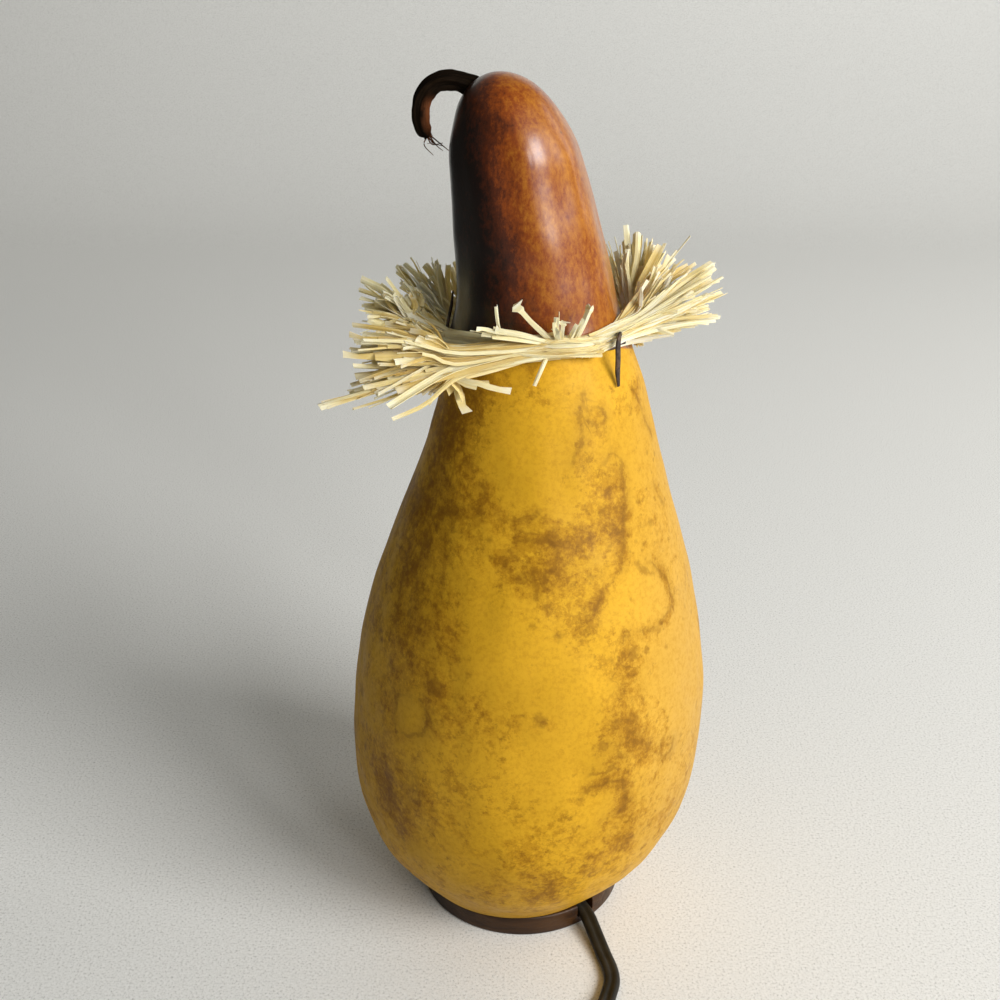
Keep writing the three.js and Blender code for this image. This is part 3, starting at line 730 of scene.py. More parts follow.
    def material(self) -> Material:
        """The whole skin in one material."""
        g = Graph("gourd_skin")
        _, y, z = g.axis()
        ragged = g.swing(g.noise(260, detail=3), 0.0014)
        fall = g.times(g.math("MINIMUM", y, 0.010), self.stain_slope)
        edge = g.total(z, fall, -self.stain_height * MM, ragged)
        stained = g.step(edge, -0.0003, 0.0005)
        colour = g.mix(stained, self.body(g), self.neck(g))
        worn = g.noise(160, detail=4, roughness=0.6)
        satin = g.step(worn, 0.3, 0.7, (0.46, 0.60))
        gloss = g.step(worn, 0.3, 0.7, (0.32, 0.42))
        roughness = g.total(g.times(satin, g.math("SUBTRACT", 1.0, stained)), g.times(gloss, stained))
        dents = g.bump(g.noise(62, detail=1, roughness=0.4), 0.0006)
        pores = g.bump(g.noise(800, detail=2), 0.00004, dents)
        g.feed(g.shader.inputs["Coat Weight"], g.times(stained, 0.85))
        return g.finish(colour, roughness, pores, Specular_IOR_Level=0.16, Coat_Roughness=0.25)


@dataclass(frozen=True)
class StemBark:
    """The dry stem: dark, ribbed along its length, paler where its bark has peeled."""

    dark: Colour = (0.004, 0.0025, 0.0015)
    brown: Colour = (0.013, 0.007, 0.003)
    peeled: Colour = (0.17, 0.055, 0.02)

    def material(self) -> Material:
        """The stem's material, on its own UV map round and along it."""
        g = Graph("dry_stem")
        lengthways = g.stretched((34, 3, 1), g.uv)
        fibres = g.noise(1, detail=5, roughness=0.65, at=lengthways)
        clouds = g.noise(160, detail=3)
        colour = g.mix(g.step(fibres, 0.35, 0.7), self.dark, self.brown)
        bare = g.times(g.attribute("peel"), g.step(clouds, 0.3, 0.5))
        colour = g.mix(bare, colour, self.peeled)
        normal = g.bump(fibres, 0.0005)
        return g.finish(colour, g.step(fibres, 0.3, 0.7, (0.8, 0.6)), normal, Specular_IOR_Level=0.04)


@dataclass(frozen=True)
class DryStraw:
    """Split palm straw: pale, streaked along its length, each strip a little different."""

    name: str = "raffia"
    pale: Colour = (0.87, 0.77, 0.44)
    straw: Colour = (0.80, 0.62, 0.27)
    gold: Colour = (0.60, 0.40, 0.12)
    white: Colour = (0.92, 0.88, 0.68)

    def material(self) -> Material:
        """The straw's material, on each strip's own UV map and tint."""
        g = Graph(self.name)
        tint = g.attribute("tint")
        _, along, _ = g.axis(g.uv)
        fibres = g.noise(1, detail=4, roughness=0.6, at=g.stretched((9, 1.1, 1), g.uv))
        clouds = g.noise(130, detail=3)
        tone = g.total(tint, g.swing(fibres, 0.9), g.swing(clouds, 0.5))
        colour = g.ramp(tone, (0.05, self.gold), (0.45, self.straw), (0.8, self.pale), (1.0, self.white))
        colour = g.mix(g.step(along, 0.9, 1.0, (0.0, 0.5)), colour, self.white)
        colour = g.mix(g.step(along, 0.25, 0.0, (0.0, 0.35)), colour, self.gold)
        normal = g.bump(fibres, 0.00025)
        g.feed(g.shader.inputs["Subsurface Radius"], (0.002, 0.0015, 0.0008))
        return g.finish(colour, 0.6, normal, Subsurface_Weight=0.35, Subsurface_Scale=1.0,
                        Specular_IOR_Level=0.3)


@dataclass(frozen=True)
class Leather:
    """The thong's leather: dull dark brown with a worn face."""

    dark: Colour = (0.022, 0.012, 0.007)
    worn: Colour = (0.09, 0.048, 0.025)

    def material(self) -> Material:
        """The leather, on Object coordinates."""
        g = Graph("thong")
        clouds = g.noise(420, detail=4, roughness=0.6)
        creases, _ = g.cells(900)
        colour = g.mix(g.step(clouds, 0.4, 0.7), self.dark, self.worn)
        normal = g.bump(creases, 0.0002)
        return g.finish(colour, g.step(clouds, 0.3, 0.7, (0.7, 0.5)), normal)


@dataclass(frozen=True)
class StainedWood:
    """The foot's wood: stained dark red-brown over a straight grain."""

    dark: Colour = (0.017, 0.006, 0.0015)
    warm: Colour = (0.052, 0.020, 0.0035)
    worn: Colour = (0.09, 0.038, 0.009)

    def material(self) -> Material:
        """The wood; its grain runs across the foot along the X axis."""
        g = Graph("stained_wood")
        grain = g.noise(1, detail=6, roughness=0.62, distortion=0.2, at=g.stretched((26, 330, 330)))
        bands = g.noise(1, detail=3, distortion=0.6, at=g.stretched((9, 75, 75)))
        clouds = g.noise(45, detail=3)
        tone = g.total(g.times(grain, 0.5), g.times(bands, 0.45), g.times(clouds, 0.2))
        colour = g.mix(g.step(tone, 0.42, 0.72), self.dark, self.warm)
        colour = g.mix(g.step(tone, 0.66, 0.85), colour, self.worn)
        pores = g.bump(grain, 0.0002)
        normal = g.bump(g.noise(1, detail=2, at=g.stretched((70, 1400, 1400))), 0.00012, pores)
        return g.finish(colour, g.step(grain, 0.3, 0.7, (0.5, 0.38)), normal, Specular_IOR_Level=0.3)


@dataclass(frozen=True)
class SmoothFinish:
    """A plain made surface with slight clouds and fine grain: flex, porcelain, brass, steel or strap."""

    name: str
    low: Colour
    high: Colour
    roughness: float
    grain: float = 700.0
    depth: float = 0.00003
    metallic: float = 0.0
    specular: float = 0.5

    def material(self) -> Material:
        """The finish, on Object coordinates."""
        g = Graph(self.name)
        clouds = g.noise(self.grain / 8, detail=4, roughness=0.6)
        fine = g.noise(self.grain, detail=2)
        colour = g.mix(g.step(clouds, 0.35, 0.68), self.low, self.high)
        worn = g.step(fine, 0.3, 0.7, (self.roughness - 0.06, self.roughness + 0.06))
        normal = g.bump(fine, self.depth)
        return g.finish(colour, worn, normal, Metallic=self.metallic, Specular_IOR_Level=self.specular)


FLEX = SmoothFinish("cord_brown", (0.010, 0.009, 0.006), (0.022, 0.019, 0.014), 0.46, 900.0, 0.00004,
                    specular=0.3)
PORCELAIN = SmoothFinish("porcelain", (0.72, 0.69, 0.61), (0.80, 0.78, 0.71), 0.14, 300.0, 0.00001)
STEEL = SmoothFinish("screw_steel", (0.46, 0.45, 0.43), (0.60, 0.59, 0.57), 0.32, 900.0, 0.00002, 1.0)
BRASS = SmoothFinish("brass", (0.55, 0.38, 0.14), (0.72, 0.53, 0.24), 0.26, 900.0, 0.00002, 1.0)


@dataclass(frozen=True)
class WovenStrap:
    """The tie's black woven strap."""

    black: Colour = (0.012, 0.012, 0.012)
    grey: Colour = (0.05, 0.05, 0.052)

    def material(self) -> Material:
        """The weave, on the strap's own UV map."""
        g = Graph("tie_black")
        warp = g.waves(7, 0.4, g.stretched((1, 0, 0), g.uv))
        weft = g.waves(30, 0.4, g.stretched((0, 1, 0), g.uv))
        weave = g.times(warp, weft)
        colour = g.mix(weave, self.black, self.grey)
        return g.finish(colour, 0.75, g.bump(weave, 0.0003))


@dataclass(frozen=True)
class BulbGlass:
    """Frosted candle bulb glass."""

    white: Colour = (0.93, 0.90, 0.82)
    warm: Colour = (0.90, 0.84, 0.72)

    def material(self) -> Material:
        """The glass, with a slight etch."""
        g = Graph("bulb_glass")
        etch = g.noise(1500, detail=2)
        colour = g.mix(g.noise(90), self.white, self.warm)
        normal = g.bump(etch, 0.00002)
        return g.finish(colour, 0.35, normal, Transmission_Weight=0.45, IOR=1.45)


@dataclass(frozen=True)
class Patch:
    """A cloud of mould, or a clear place where its strength is below zero. Degrees and mm."""

    degrees: float
    height: float
    size: float
    strength: float


@dataclass(frozen=True)
class DryingLine:
    """A line that drying left, in degrees and mm, with the width and strength of the mould along it."""

    points: Table
    width: float = 0.0
    strength: float = 0.0


@dataclass
class Gourd:
    """The gourd's rind, with the marks that mould and drying left on it."""

    around: int = 224
    rings: int = 148
    lump_depth: float = 0.55
    wander: float = 1.5
    wander_length: float = 8.0
    band_strength: float = 0.68
    band_spread: float = 1.25
    seed: int = 11
    back_patches: int = 26
    back_lines: int = 13
    back_loops: int = 26
    back_spots: int = 90
    patches: tuple[Patch, ...] = (
        # The patches high on the left under the ruff, from -151 to -124 degrees and 174 to 198 mm, are partly
        # mould and partly painted shadow of the ruff.
        Patch(-149, 190, 11, 0.2), Patch(-151, 177, 11, 0.25), Patch(-136, 198, 8, 0.25),
        Patch(-124, 174, 7, 0.3), Patch(-147, 163, 12, 0.28), Patch(-145, 148, 10, 0.32),
        Patch(-137, 133, 10, 0.3), Patch(-125, 130, 9, 0.42), Patch(-117, 128, 6, 0.3),
        Patch(-141, 118, 9, 0.28), Patch(-123, 113, 5, 0.6), Patch(-129, 117, 4, 0.35),
        Patch(-132, 100, 5.5, -1.1), Patch(-141, 100, 7, 0.4), Patch(-133, 89, 5, 0.3),
        Patch(-116, 108, 8, 0.3), Patch(-103, 106, 8, 0.1), Patch(-90, 108, 6, 0.35),
        Patch(-125, 73, 7, 0.45), Patch(-141, 68, 9, 0.35), Patch(-133, 56, 9, 0.25),
        Patch(-90, 158, 7.5, 0.22), Patch(-84, 153, 5, 0.15), Patch(-104, 154, 8, 0.26),
        Patch(-78, 162, 6, 0.3), Patch(-64, 179, 8, 0.2), Patch(-59, 169, 8, 0.26), Patch(-60, 159, 7, 0.3),
        Patch(-62, 197, 4, 0.3), Patch(-58, 120, 8, 0.35), Patch(-62, 106, 8, 0.35),
        Patch(-60, 94, 8, 0.45), Patch(-64, 84, 6, 0.3), Patch(-60, 68, 7, 0.3), Patch(-60, 55, 7, 0.3),
        Patch(-70, 48, 7, 0.22), Patch(-82, 36, 8, 0.3), Patch(-44, 86, 4, 0.45), Patch(-93, 62, 8, 0.12),
        Patch(-107, 74, 8, 0.12), Patch(-51, 140, 10.5, -1.2), Patch(-70, 75, 4, -1.0),
        Patch(-96, 187, 14, -0.75), Patch(-60, 209, 12, -0.5), Patch(-95, 125, 12, -0.5),
        Patch(-78, 118, 10, -0.5), Patch(-86, 92, 14, -0.4), Patch(-30, 110, 20, -0.4),
        Patch(-36, 58, 14, 0.2), Patch(-36, 185, 12, -0.3), Patch(-101, 129, 10, -0.35),
        Patch(-92, 44, 11, 0.3), Patch(-92, 140, 7, 0.12), Patch(-78, 146, 13, 0.1),
        Patch(-62, 99, 13, 0.12), Patch(-112, 161, 14, 0.12),
    )
    drying_lines: tuple[DryingLine, ...] = (
        DryingLine(((-69, 204), (-72, 198), (-72, 193), (-75, 186)), 1.7, 0.35),
        DryingLine(((-58, 192), (-56, 188), (-61, 184))),
        DryingLine(((-51, 181), (-52, 173), (-55, 164), (-57, 154)), 1.8, 0.35),
        DryingLine(((-138, 165), (-132, 167), (-123, 166), (-118, 168)), 2.0, 0.35),
        DryingLine(((-119, 176), (-115, 173), (-108, 168), (-101, 168), (-94, 170)), 2.4, 0.4),
        DryingLine(((-100, 162), (-94, 163), (-87, 162), (-83, 157), (-87, 154), (-90, 150)), 2.4, 0.42),
        DryingLine(((-94, 153), (-93, 147))),
        DryingLine(((-57, 151), (-65, 147), (-71, 142), (-73, 137)), 3.4, 0.7),
        DryingLine(((-47, 149), (-41, 148), (-36, 144), (-35, 138), (-33, 132), (-40, 129))),
        DryingLine(((-59, 131), (-53, 131), (-46, 129)), 2.6, 1.0),
        DryingLine(((-139, 103), (-132, 107), (-125, 104), (-125, 96), (-131, 93), (-137, 95), (-139, 103))),
        DryingLine(((-76, 79), (-72, 83), (-64, 83), (-61, 78), (-61, 70), (-68, 68)), 2.6, 0.5),
        DryingLine(((-144, 154), (-143, 149), (-150, 138), (-146, 127)), 3.5, 0.4),
        DryingLine(((-150, 178), (-148, 170))),
        DryingLine(((-29, 201), (-25, 192), (-19, 185)), 1.7, 0.35),
        DryingLine(((-28, 170), (-25, 164))),
    )
    smudges: tuple[DryingLine, ...] = (
        DryingLine(((-89, 166), (-82, 164), (-75, 161), (-69, 162), (-62, 165)), 3.2, 0.28),
        DryingLine(((-36, 144), (-35, 138), (-33, 132), (-40, 129)), 2.0, 1.1),
        DryingLine(((-64, 181), (-60, 172), (-60, 160)), 4.0, 0.22),
        DryingLine(((-127, 100), (-118, 104), (-110, 104), (-101, 106), (-89, 108)), 4.5, 0.2),
        DryingLine(((-60, 65), (-58, 55), (-66, 52), (-73, 46), (-82, 36)), 4.5, 0.3),
        DryingLine(((-66, 122), (-59, 118)), 3.0, 0.45),
        DryingLine(((-143, 73), (-139, 63), (-132, 55)), 4.5, 0.35),
    )
    loops: tuple[Spot, ...] = (
        (-62, 197, 2.9), (-44, 86, 3.5), (-63, 115, 1.0), (-61, 112, 1.3), (-55, 111, 1.0), (-59, 103, 1.7),
        (-65, 104, 1.2), (-63, 100, 1.6), (-62, 94, 3.0), (-69, 97, 1.3), (-57, 95, 1.7), (-53, 90, 1.4),
        (-58, 109, 1.2), (-66, 89, 1.1), (-72, 90, 1.0), (-104, 155, 1.6), (-98, 152, 1.4),
    )
    spots: tuple[Spot, ...] = (
        (-110, 156, 1.0), (-103, 158, 1.4), (-105, 153, 1.2), (-104, 150, 1.0), (-100, 155, 1.5),
        (-98, 150, 1.4), (-112, 161, 0.9), (-130, 162, 1.5), (-125, 162, 0.9), (-50, 151, 1.2),
        (-47, 148, 1.4), (-42, 145, 1.3), (-44, 169, 0.9), (-38, 161, 1.2), (-43, 160, 0.9),
        (-35, 157, 0.9), (-116, 111, 1.1), (-116, 107, 1.1), (-114, 108, 0.9), (-89, 108, 2.2),
        (-98, 107, 1.0), (-57, 124, 2.2), (-51, 123, 1.3), (-41, 121, 0.9), (-72, 93, 0.9), (-69, 92, 0.8),
        (-57, 55, 1.3), (-123, 113, 3.2), (-88, 143, 1.2), (-79, 139, 1.0), (-84, 134, 1.6),
        (-76, 133, 1.2), (-92, 138, 1.2), (-71, 150, 1.3), (-120, 70, 1.4), (-112, 120, 1.0),
    )

    def height_of_ring(self, share: float) -> float:
        """Height of a ring, closer together towards the crown, in mm."""
        return SKIN.bottom + (SKIN.top - SKIN.bottom) * math.sin(math.pi / 2 * share) ** 0.9

    def grown(self, points: np.ndarray) -> np.ndarray:
        """Takes the turned form to the real one: bent, lobed, fluted and a little lumpy.

        Args:
            points: Points of the turned form, in metres.

        Returns:
            The moved points.
        """
        moved = points.copy()
        for k, (x, y, z) in enumerate(points / MM):
            radius = math.hypot(x, y)
            angle = math.atan2(y, x)
            ease = min(1.0, radius / 12)
            lumps = noise.noise(Vector((x, y, z)) / 17) + 0.4 * noise.noise(Vector((x, y, z * 0.5)) / 7)
            out = radius + ease * (SKIN.relief(z, angle) + self.lump_depth * lumps * smooth_step(z, 8, 20))
            moved[k] = (out * math.cos(angle) + SKIN.axis_x(z), out * math.sin(angle), z)
        moved[np.hypot(points[:, 0], points[:, 1]) > 0.01 * MM] *= MM
        poles = np.hypot(points[:, 0], points[:, 1]) <= 0.01 * MM
        moved[poles] = [(SKIN.axis_x(z / MM) * MM, 0.0, z) for z in points[poles, 2]]
        return moved

    def all_marks(self) -> tuple[list[Patch], list[np.ndarray], list[Spot]]:
        """Gathers the marks: those in front as placed, and others like them strewn over the back.

        Returns:
            The patches, the lines and loops as points on the skin, and the spots.
        """
        draw = random.Random(self.seed)
        patches = list(self.patches)
        lines = [[SKIN.point(*p) for p in line.points] for line in self.drying_lines]
        loops, spots = list(self.loops), list(self.spots)
        for _ in range(self.back_patches):
            patches.append(Patch(draw.uniform(-12, 205), draw.uniform(20, 200), draw.uniform(7, 18),
                                 draw.uniform(-0.9, 0.8)))
        for _ in range(self.back_lines):
            degrees, height = draw.uniform(-10, 200), draw.uniform(30, 195)
            way = draw.uniform(0, TURN)
            walk = []
            for _ in range(draw.randint(4, 9)):
                walk.append(SKIN.point(degrees, height))
                degrees += 6 * math.cos(way)
                height += 6 * math.sin(way)
                way += draw.uniform(-0.7, 0.7)
            lines.append(walk)
        for _ in range(self.back_loops):
            loops.append((draw.uniform(-10, 205), draw.uniform(30, 190), draw.uniform(1.0, 4.0)))
        for _ in range(self.back_spots):
            spots.append((draw.uniform(-14, 208), draw.uniform(25, 200), draw.uniform(0.7, 2.0)))
        for degrees, height, size in loops:
            lines.append([SKIN.point(degrees + math.degrees(size * math.cos(a) / SKIN.radius(height)),
                                     height + size * math.sin(a)) for a in np.linspace(0, TURN, 13)])
        return patches, [self.wandering(smooth_line(line, 5 * len(line))) for line in lines], spots

    def wandering(self, line: np.ndarray) -> np.ndarray:
        """Lets a line on the skin wander a little, as a drying edge does."""
        length = self.wander_length * MM
        return np.array([Vector(p) + self.wander * MM * noise.noise_vector(Vector(p) / length) for p in line])

    def mark(self, mesh: bpy.types.Mesh) -> None:
        """Stores on the mesh how mouldy each place is, and how far the nearest drying line and spot are."""
        points = points_of(mesh)
        patches, lines, spots = self.all_marks()
        mould = np.zeros(len(points))
        for patch in patches:
            away = np.linalg.norm(points - SKIN.point(patch.degrees, patch.height), axis=1) / MM
            mould += patch.strength * np.exp(-((away / patch.size) ** 2))
        gap, side = np.full(len(points), 0.05), np.full(len(points), 0.05)
        for line in lines:
            for start, end in zip(line, line[1:]):
                way = end - start
                share = np.clip((points - start) @ way / max(way @ way, 1e-12), 0, 1)
                off = points - start - share[:, None] * way
                away = np.linalg.norm(off, axis=1)
                nearer = away < gap
                outward = start * (1, 1, 0.2)
                side[nearer] = off[nearer] @ unit(np.cross(way, outward))
                gap[nearer] = away[nearer]
        for stroke in (stroke for stroke in (*self.drying_lines, *self.smudges) if stroke.strength):
            along = smooth_line([SKIN.point(*p) for p in stroke.points], 24)
            away = np.min([np.linalg.norm(points - p, axis=1) for p in along], axis=0) / MM
            reach = self.band_spread * stroke.width
            mould += self.band_strength * stroke.strength * np.exp(-((away / reach) ** 2))
        spot_gap = np.min([np.linalg.norm(points - SKIN.point(degrees, height), axis=1) - size * MM
                           for degrees, height, size in spots], axis=0)
        set_attribute(mesh, "mould", mould)
        set_attribute(mesh, "spot_gap", spot_gap)
        set_attribute(mesh, "line_gap", gap)
        set_attribute(mesh, "line_side", side)

    def build(self) -> Piece:
        """Turns, grows, marks and hollows the gourd.

        Returns:
            The finished piece.
        """
        heights = [self.height_of_ring(i / self.rings) for i in range(self.rings + 1)]
        piece = turned("gourd", [(SKIN.radius(z), z) for z in heights], self.around)
        set_points(piece.data, self.grown(points_of(piece.data)))
        self.mark(piece.data)
        apply(piece, "SOLIDIFY", thickness=SKIN.wall * MM, offset=-1.0)
        return dressed(piece, GourdSkin().material(), "gourd_skin", "gourd_shell", angle=60)


@dataclass
class Stem:
    """The dry stem: ribbed, hooked over to the left, its bark peeled inside the hook."""

    depth: float = 4.0
    route: tuple[Point, ...] = (
        (-10.5, 286.5, 4.6), (-14.6, 289.4, 3.9), (-19.2, 291.4, 3.4), (-24, 291.9, 3.25),
        (-28.2, 290.5, 3.2), (-31.2, 287, 3.15), (-32.2, 282.6, 3), (-31.6, 278.6, 2.8), (-29.8, 275.6, 2.4),
    )
    ribs: int = 5
    rib_depth: float = 0.14
    slimness: float = 0.84
    around: int = 60
    stations: int = 110
    fibres: int = 7
    seed: int = 3

    def line(self) -> np.ndarray:
        """The stem's middle line."""
        return smooth_line([(x * MM, self.depth * MM, z * MM) for x, z, _ in self.route], self.stations)

    def bark(self) -> Piece:
        """The stem itself: a ribbed tube with knots, creases and a broken end."""
        line = self.line()
        shares = np.linspace(0, 1, self.stations)
        table = tuple((i / (len(self.route) - 1), r) for i, (_, _, r) in enumerate(self.route))
        radii = self.slimness * np.array([smooth_at(table, s) for s in shares])
        turn = np.linspace(0, TURN, self.around, endpoint=False)
        twist = 1.5 * shares[:, None]
        ribbed = 1 + self.rib_depth * np.cos(self.ribs * (turn[None] + twist)) \
            + 0.035 * np.cos(17 * turn[None] + 5 * twist)
        rough = np.array([[noise.noise(Vector((math.cos(a) * 2.2, math.sin(a) * 2.2, s * 14)))
                           for a in turn] for s in shares])
        swell = 1 + 0.07 * np.cos(shares[:, None] * 31) * np.exp(-shares[:, None] * 2)
        broken = np.clip((1 - shares[:, None]) / 0.05, 0.35, 1) ** 0.5
        size = radii[:, None] * ribbed * (1 + 0.09 * rough) * swell * broken * MM
        side = np.cross(tangents(line), BACK)
        rings = line[:, None] + size[..., None] * (
            np.cos(turn)[None, :, None] * side[:, None] + np.sin(turn)[None, :, None] * BACK)
        piece = rolled("stem", rings)
        self.peel(piece.data, line)
        return piece

    def peel(self, mesh: bpy.types.Mesh, line: np.ndarray) -> None:
        """Stores where the bark has peeled: inside the hook, near its end."""
        points = points_of(mesh)
        nearest = np.argmin(np.linalg.norm(points[:, None] - line[None], axis=2), axis=1)
        share = nearest / (len(line) - 1)
        inward = (points - line[nearest])[:, 0] / (2.5 * MM)
        set_attribute(mesh, "peel", np.clip(inward, 0, 1) * np.clip((share - 0.55) * 6, 0, 1))

    def fibre(self, draw: random.Random) -> Piece:
        """One loose fibre at the broken end."""
        end = self.line()[-1]
        start = end + np.array([draw.uniform(-1, 1), draw.uniform(-1, 1), 0.4]) * 1.6 * MM
        reach = draw.uniform(3, 8)
        middle = start + np.array([draw.uniform(-0.3, 0.6), draw.uniform(-0.3, 0.3), -0.5]) * reach * MM
        far = middle + np.array([draw.uniform(-0.2, 0.9), draw.uniform(-0.4, 0.4), draw.uniform(-0.5, 0.1)]) \
            * reach * MM
        line = SKIN.kept_out(smooth_line([start, middle, far], 12), 0.4)
        turn = np.linspace(0, TURN, 5, endpoint=False)
        section = np.column_stack([np.cos(turn), np.sin(turn)]) * draw.uniform(0.12, 0.26) * MM
        piece = rolled("fibre", swept(line, section, size=np.linspace(1, 0.4, len(line))))
        set_attribute(piece.data, "peel", np.ones(len(piece.data.vertices)))
        return piece

    def build(self) -> Piece:
        """Models the stem with its fibres.

        Returns:
            The finished piece.
        """
        draw = random.Random(self.seed)
        parts = [self.bark()] + [self.fibre(draw) for _ in range(self.fibres)]
        piece = joined("stem", parts)
        return dressed(piece, StemBark().material(), "dry_stem", "gourd_stem", angle=50)


class StrawEnd(Enum):
    """How a straw ends."""

    CUT = "cut"
    FRAYED = "frayed"
    FLARED = "flared"
    KNOTTED = "knotted"


@dataclass(frozen=True)
class Straw:
    """One straw: the points that it passes through, its width and how it ends."""

    line: np.ndarray
    width: float
    end: StrawEnd
    face: Point
    roll: float
    twist: float
    tint: float
    crease: float = 1.0


@dataclass(frozen=True)
class Sheaf:
    """A bundle of straw. In mm; tied is the angle in degrees where it leaves the waist."""

    tied: float
    end: Point
    half: tuple[float, float]
    low: Point
    high: Point
    count: int
    singles: tuple[tuple[Point, float], ...]
    tint: float

    def any_tip(self, draw: random.Random) -> np.ndarray:
        """A tip drawn from the space that the sheaf's straws end in, in metres."""
        low, high = np.array(self.low) * MM, np.array(self.high) * MM
        return low + (high - low) * np.array([draw.random() for _ in range(3)])


@dataclass
class RaffiaRuff:
    """The ruff of split straw: sheaves tied at the waist, strands that bind them, and curls over the knot."""

    thick: float = 0.18
    sheaves: tuple[Sheaf, ...] = (
        Sheaf(-86, (-22, -34, 216.5), (6.5, 5.5), (-54, -44, 204), (-26, -22, 226), 120, (
            ((-48, -22, 223), 2.6), ((-48, -28, 220), 2.9), ((-54, -28, 216.5), 1.3), ((-51, -36, 213), 2.4),
            ((-45, -38, 213), 2.7), ((-44, -42, 211), 2.6), ((-61, -44, 206), 2.2),
            ((-60, -43.4, 206.6), 1.8), ((-58.5, -44.4, 205.6), 1.6), ((-40, -48, 207), 2.7),
            ((-39, -50, 204), 1.3), ((-19, -33, 198.5), 5.0), ((-5, -36, 208), 4.6),
        ), 0.4),
        Sheaf(-62, (35, -9, 222), (6, 5), (37, -8, 218), (62, 12, 237), 125, (
            ((42, 16, 230), 2.7), ((49, 14, 236), 2.7), ((53, 10, 234), 2.9), ((60, 6, 236), 2.7),
            ((63, 0, 228), 3.0), ((57, -4, 229), 2.7), ((47, -10, 225), 3.0), ((46, -13, 218.5), 1.4),
        ), 0.6),
        Sheaf(4, (36, 20, 221), (4.5, 3.6), (28, 24, 224), (50, 42, 238), 70, (
            ((31, 40, 237), 2.4), ((35, 36, 242), 2.7), ((38, 32, 240.5), 2.6), ((42, 28, 237), 2.7),
            ((45, 24, 238), 2.4), ((54, 20, 242), 1.3),
        ), 0.6),
        # This sheaf and the next have their tint raised so that their straws stay pale in the neck's shadow:
        # painted light.
        Sheaf(-170, (-36, 5, 218), (5, 3.8), (-54, -3, 214), (-34, 14, 230), 70, (
            ((-53, 10, 230), 2.6), ((-46, 5, 230), 1.4), ((-44, 0, 233), 1.4), ((-53, 8, 224), 2.7),
            ((-50, 0, 220), 2.7),
        ), 0.6),
        Sheaf(152, (-28, 24, 215), (4.5, 3.6), (-44, 26, 212), (-28, 42, 230), 55, (
            ((-39, 20, 224), 2.6), ((-35, 24, 225), 2.7), ((-29, 30, 230), 2.2), ((-26, 34, 229), 2.1),
        ), 0.75),
    )
    curls: tuple[tuple[float, Point, float, StrawEnd], ...] = (
        (-84, (-15, -35, 227), 2.6, StrawEnd.FLARED), (-83, (-13.5, -35, 224.6), 1.8, StrawEnd.FRAYED),
        (-85, (-16.8, -34.6, 225.8), 1.6, StrawEnd.FRAYED), (-82, (-10.5, -35, 226.8), 1.3, StrawEnd.KNOTTED),
        (-112, (-9, -33, 233), 1.2, StrawEnd.CUT), (-82, (-4, -33.5, 234.5), 1.8, StrawEnd.KNOTTED),
        (-80, (9, -32, 231), 2.0, StrawEnd.FRAYED), (-79, (7.4, -32, 227.4), 1.8, StrawEnd.FLARED),
        (-78, (10.8, -32, 228.6), 1.5, StrawEnd.KNOTTED), (-80, (8, -32.4, 229.4), 1.4, StrawEnd.FRAYED),
        (-74, (15.5, -31, 228), 1.5, StrawEnd.FRAYED), (-70, (19, -30, 233), 1.8, StrawEnd.KNOTTED),
        (-71, (17.6, -30, 229.6), 1.5, StrawEnd.FRAYED), (-86, (2, -34, 209), 1.4, StrawEnd.CUT),
    )
    back_from: float = 34.0
    back_to: float = 140.0
    back_count: int = 130
    wraps: int = 40
    crossings: int = 16
    seed: int = 21
    tip_seed: int = 5
    front: Point = (0.1, -0.75, 0.65)
    models: dict[StrawEnd, Piece] = field(default_factory=dict)

    def model(self, end: StrawEnd) -> Piece:
        """Models one straw, 1 long and 1 wide: a creased strip whose tip is cut, frayed, flared or knotted.

        Args:
            end: How it ends.

        Returns:
            The model, which is copied and never shown.
        """
        across, along = (3, 12) if end is StrawEnd.CUT else (4, 14)
        piece = grid(f"straw_{end.value}", across, along)
        draw = random.Random(self.tip_seed)
        if end in (StrawEnd.FRAYED, StrawEnd.FLARED):
            self.fray(piece, across, along, draw)
        points = points_of(piece.data)
        u, v = points[:, 0].copy(), points[:, 1] + 0.5
        fold = 0.30 * (1 - np.abs(u) * 4) + 0.05 * np.sin(u * 19)
        tip = np.clip((v - 0.8) / 0.2, 0, 1)
        if end is StrawEnd.FLARED:
            waist = np.exp(-((v - 0.7) / 0.13) ** 2)
            u = u * (1 - 0.5 * waist + 0.45 * tip)
            fold = fold * (1 + waist) + tip * (0.3 * np.sin(u * 12 + v * 40) + 0.2 * np.sin(v * 70))
        if end is StrawEnd.KNOTTED:
            u = u * (1 + 0.5 * np.sin(tip * math.pi) - 0.25 * tip)
            fold = fold * (1 + 2.5 * tip) + 0.55 * np.sin(tip * 7) * tip
            v = v - 0.05 * tip
        if end is StrawEnd.CUT:
            v = v + 0.012 * u * tip
        neck = 1 - 0.3 * np.exp(-v * 7)
        set_points(piece.data, np.column_stack([u * neck, v, fold]))
        return piece

    def fray(self, piece: Piece, across: int, along: int, draw: random.Random) -> None:
        """Splits the tip of a strip: some faces of its last rows are deleted.

        Args:
            piece: The flat strip.
            across: How many faces wide it is.
            along: How many faces long it is.
            draw: Random numbers.
        """
        cut = {k: draw.choice((0, 1, 2, 3)) for k in range(across)}
        for face in piece.data.polygons:
            column = int((face.center.x + 0.5) * across)
            row = int((face.center.y + 0.5) * along)
            face.select = row >= along - cut[column]
        edit(piece, faces=True)
        bpy.ops.mesh.delete(type="FACE")
        bpy.ops.object.mode_set(mode="OBJECT")

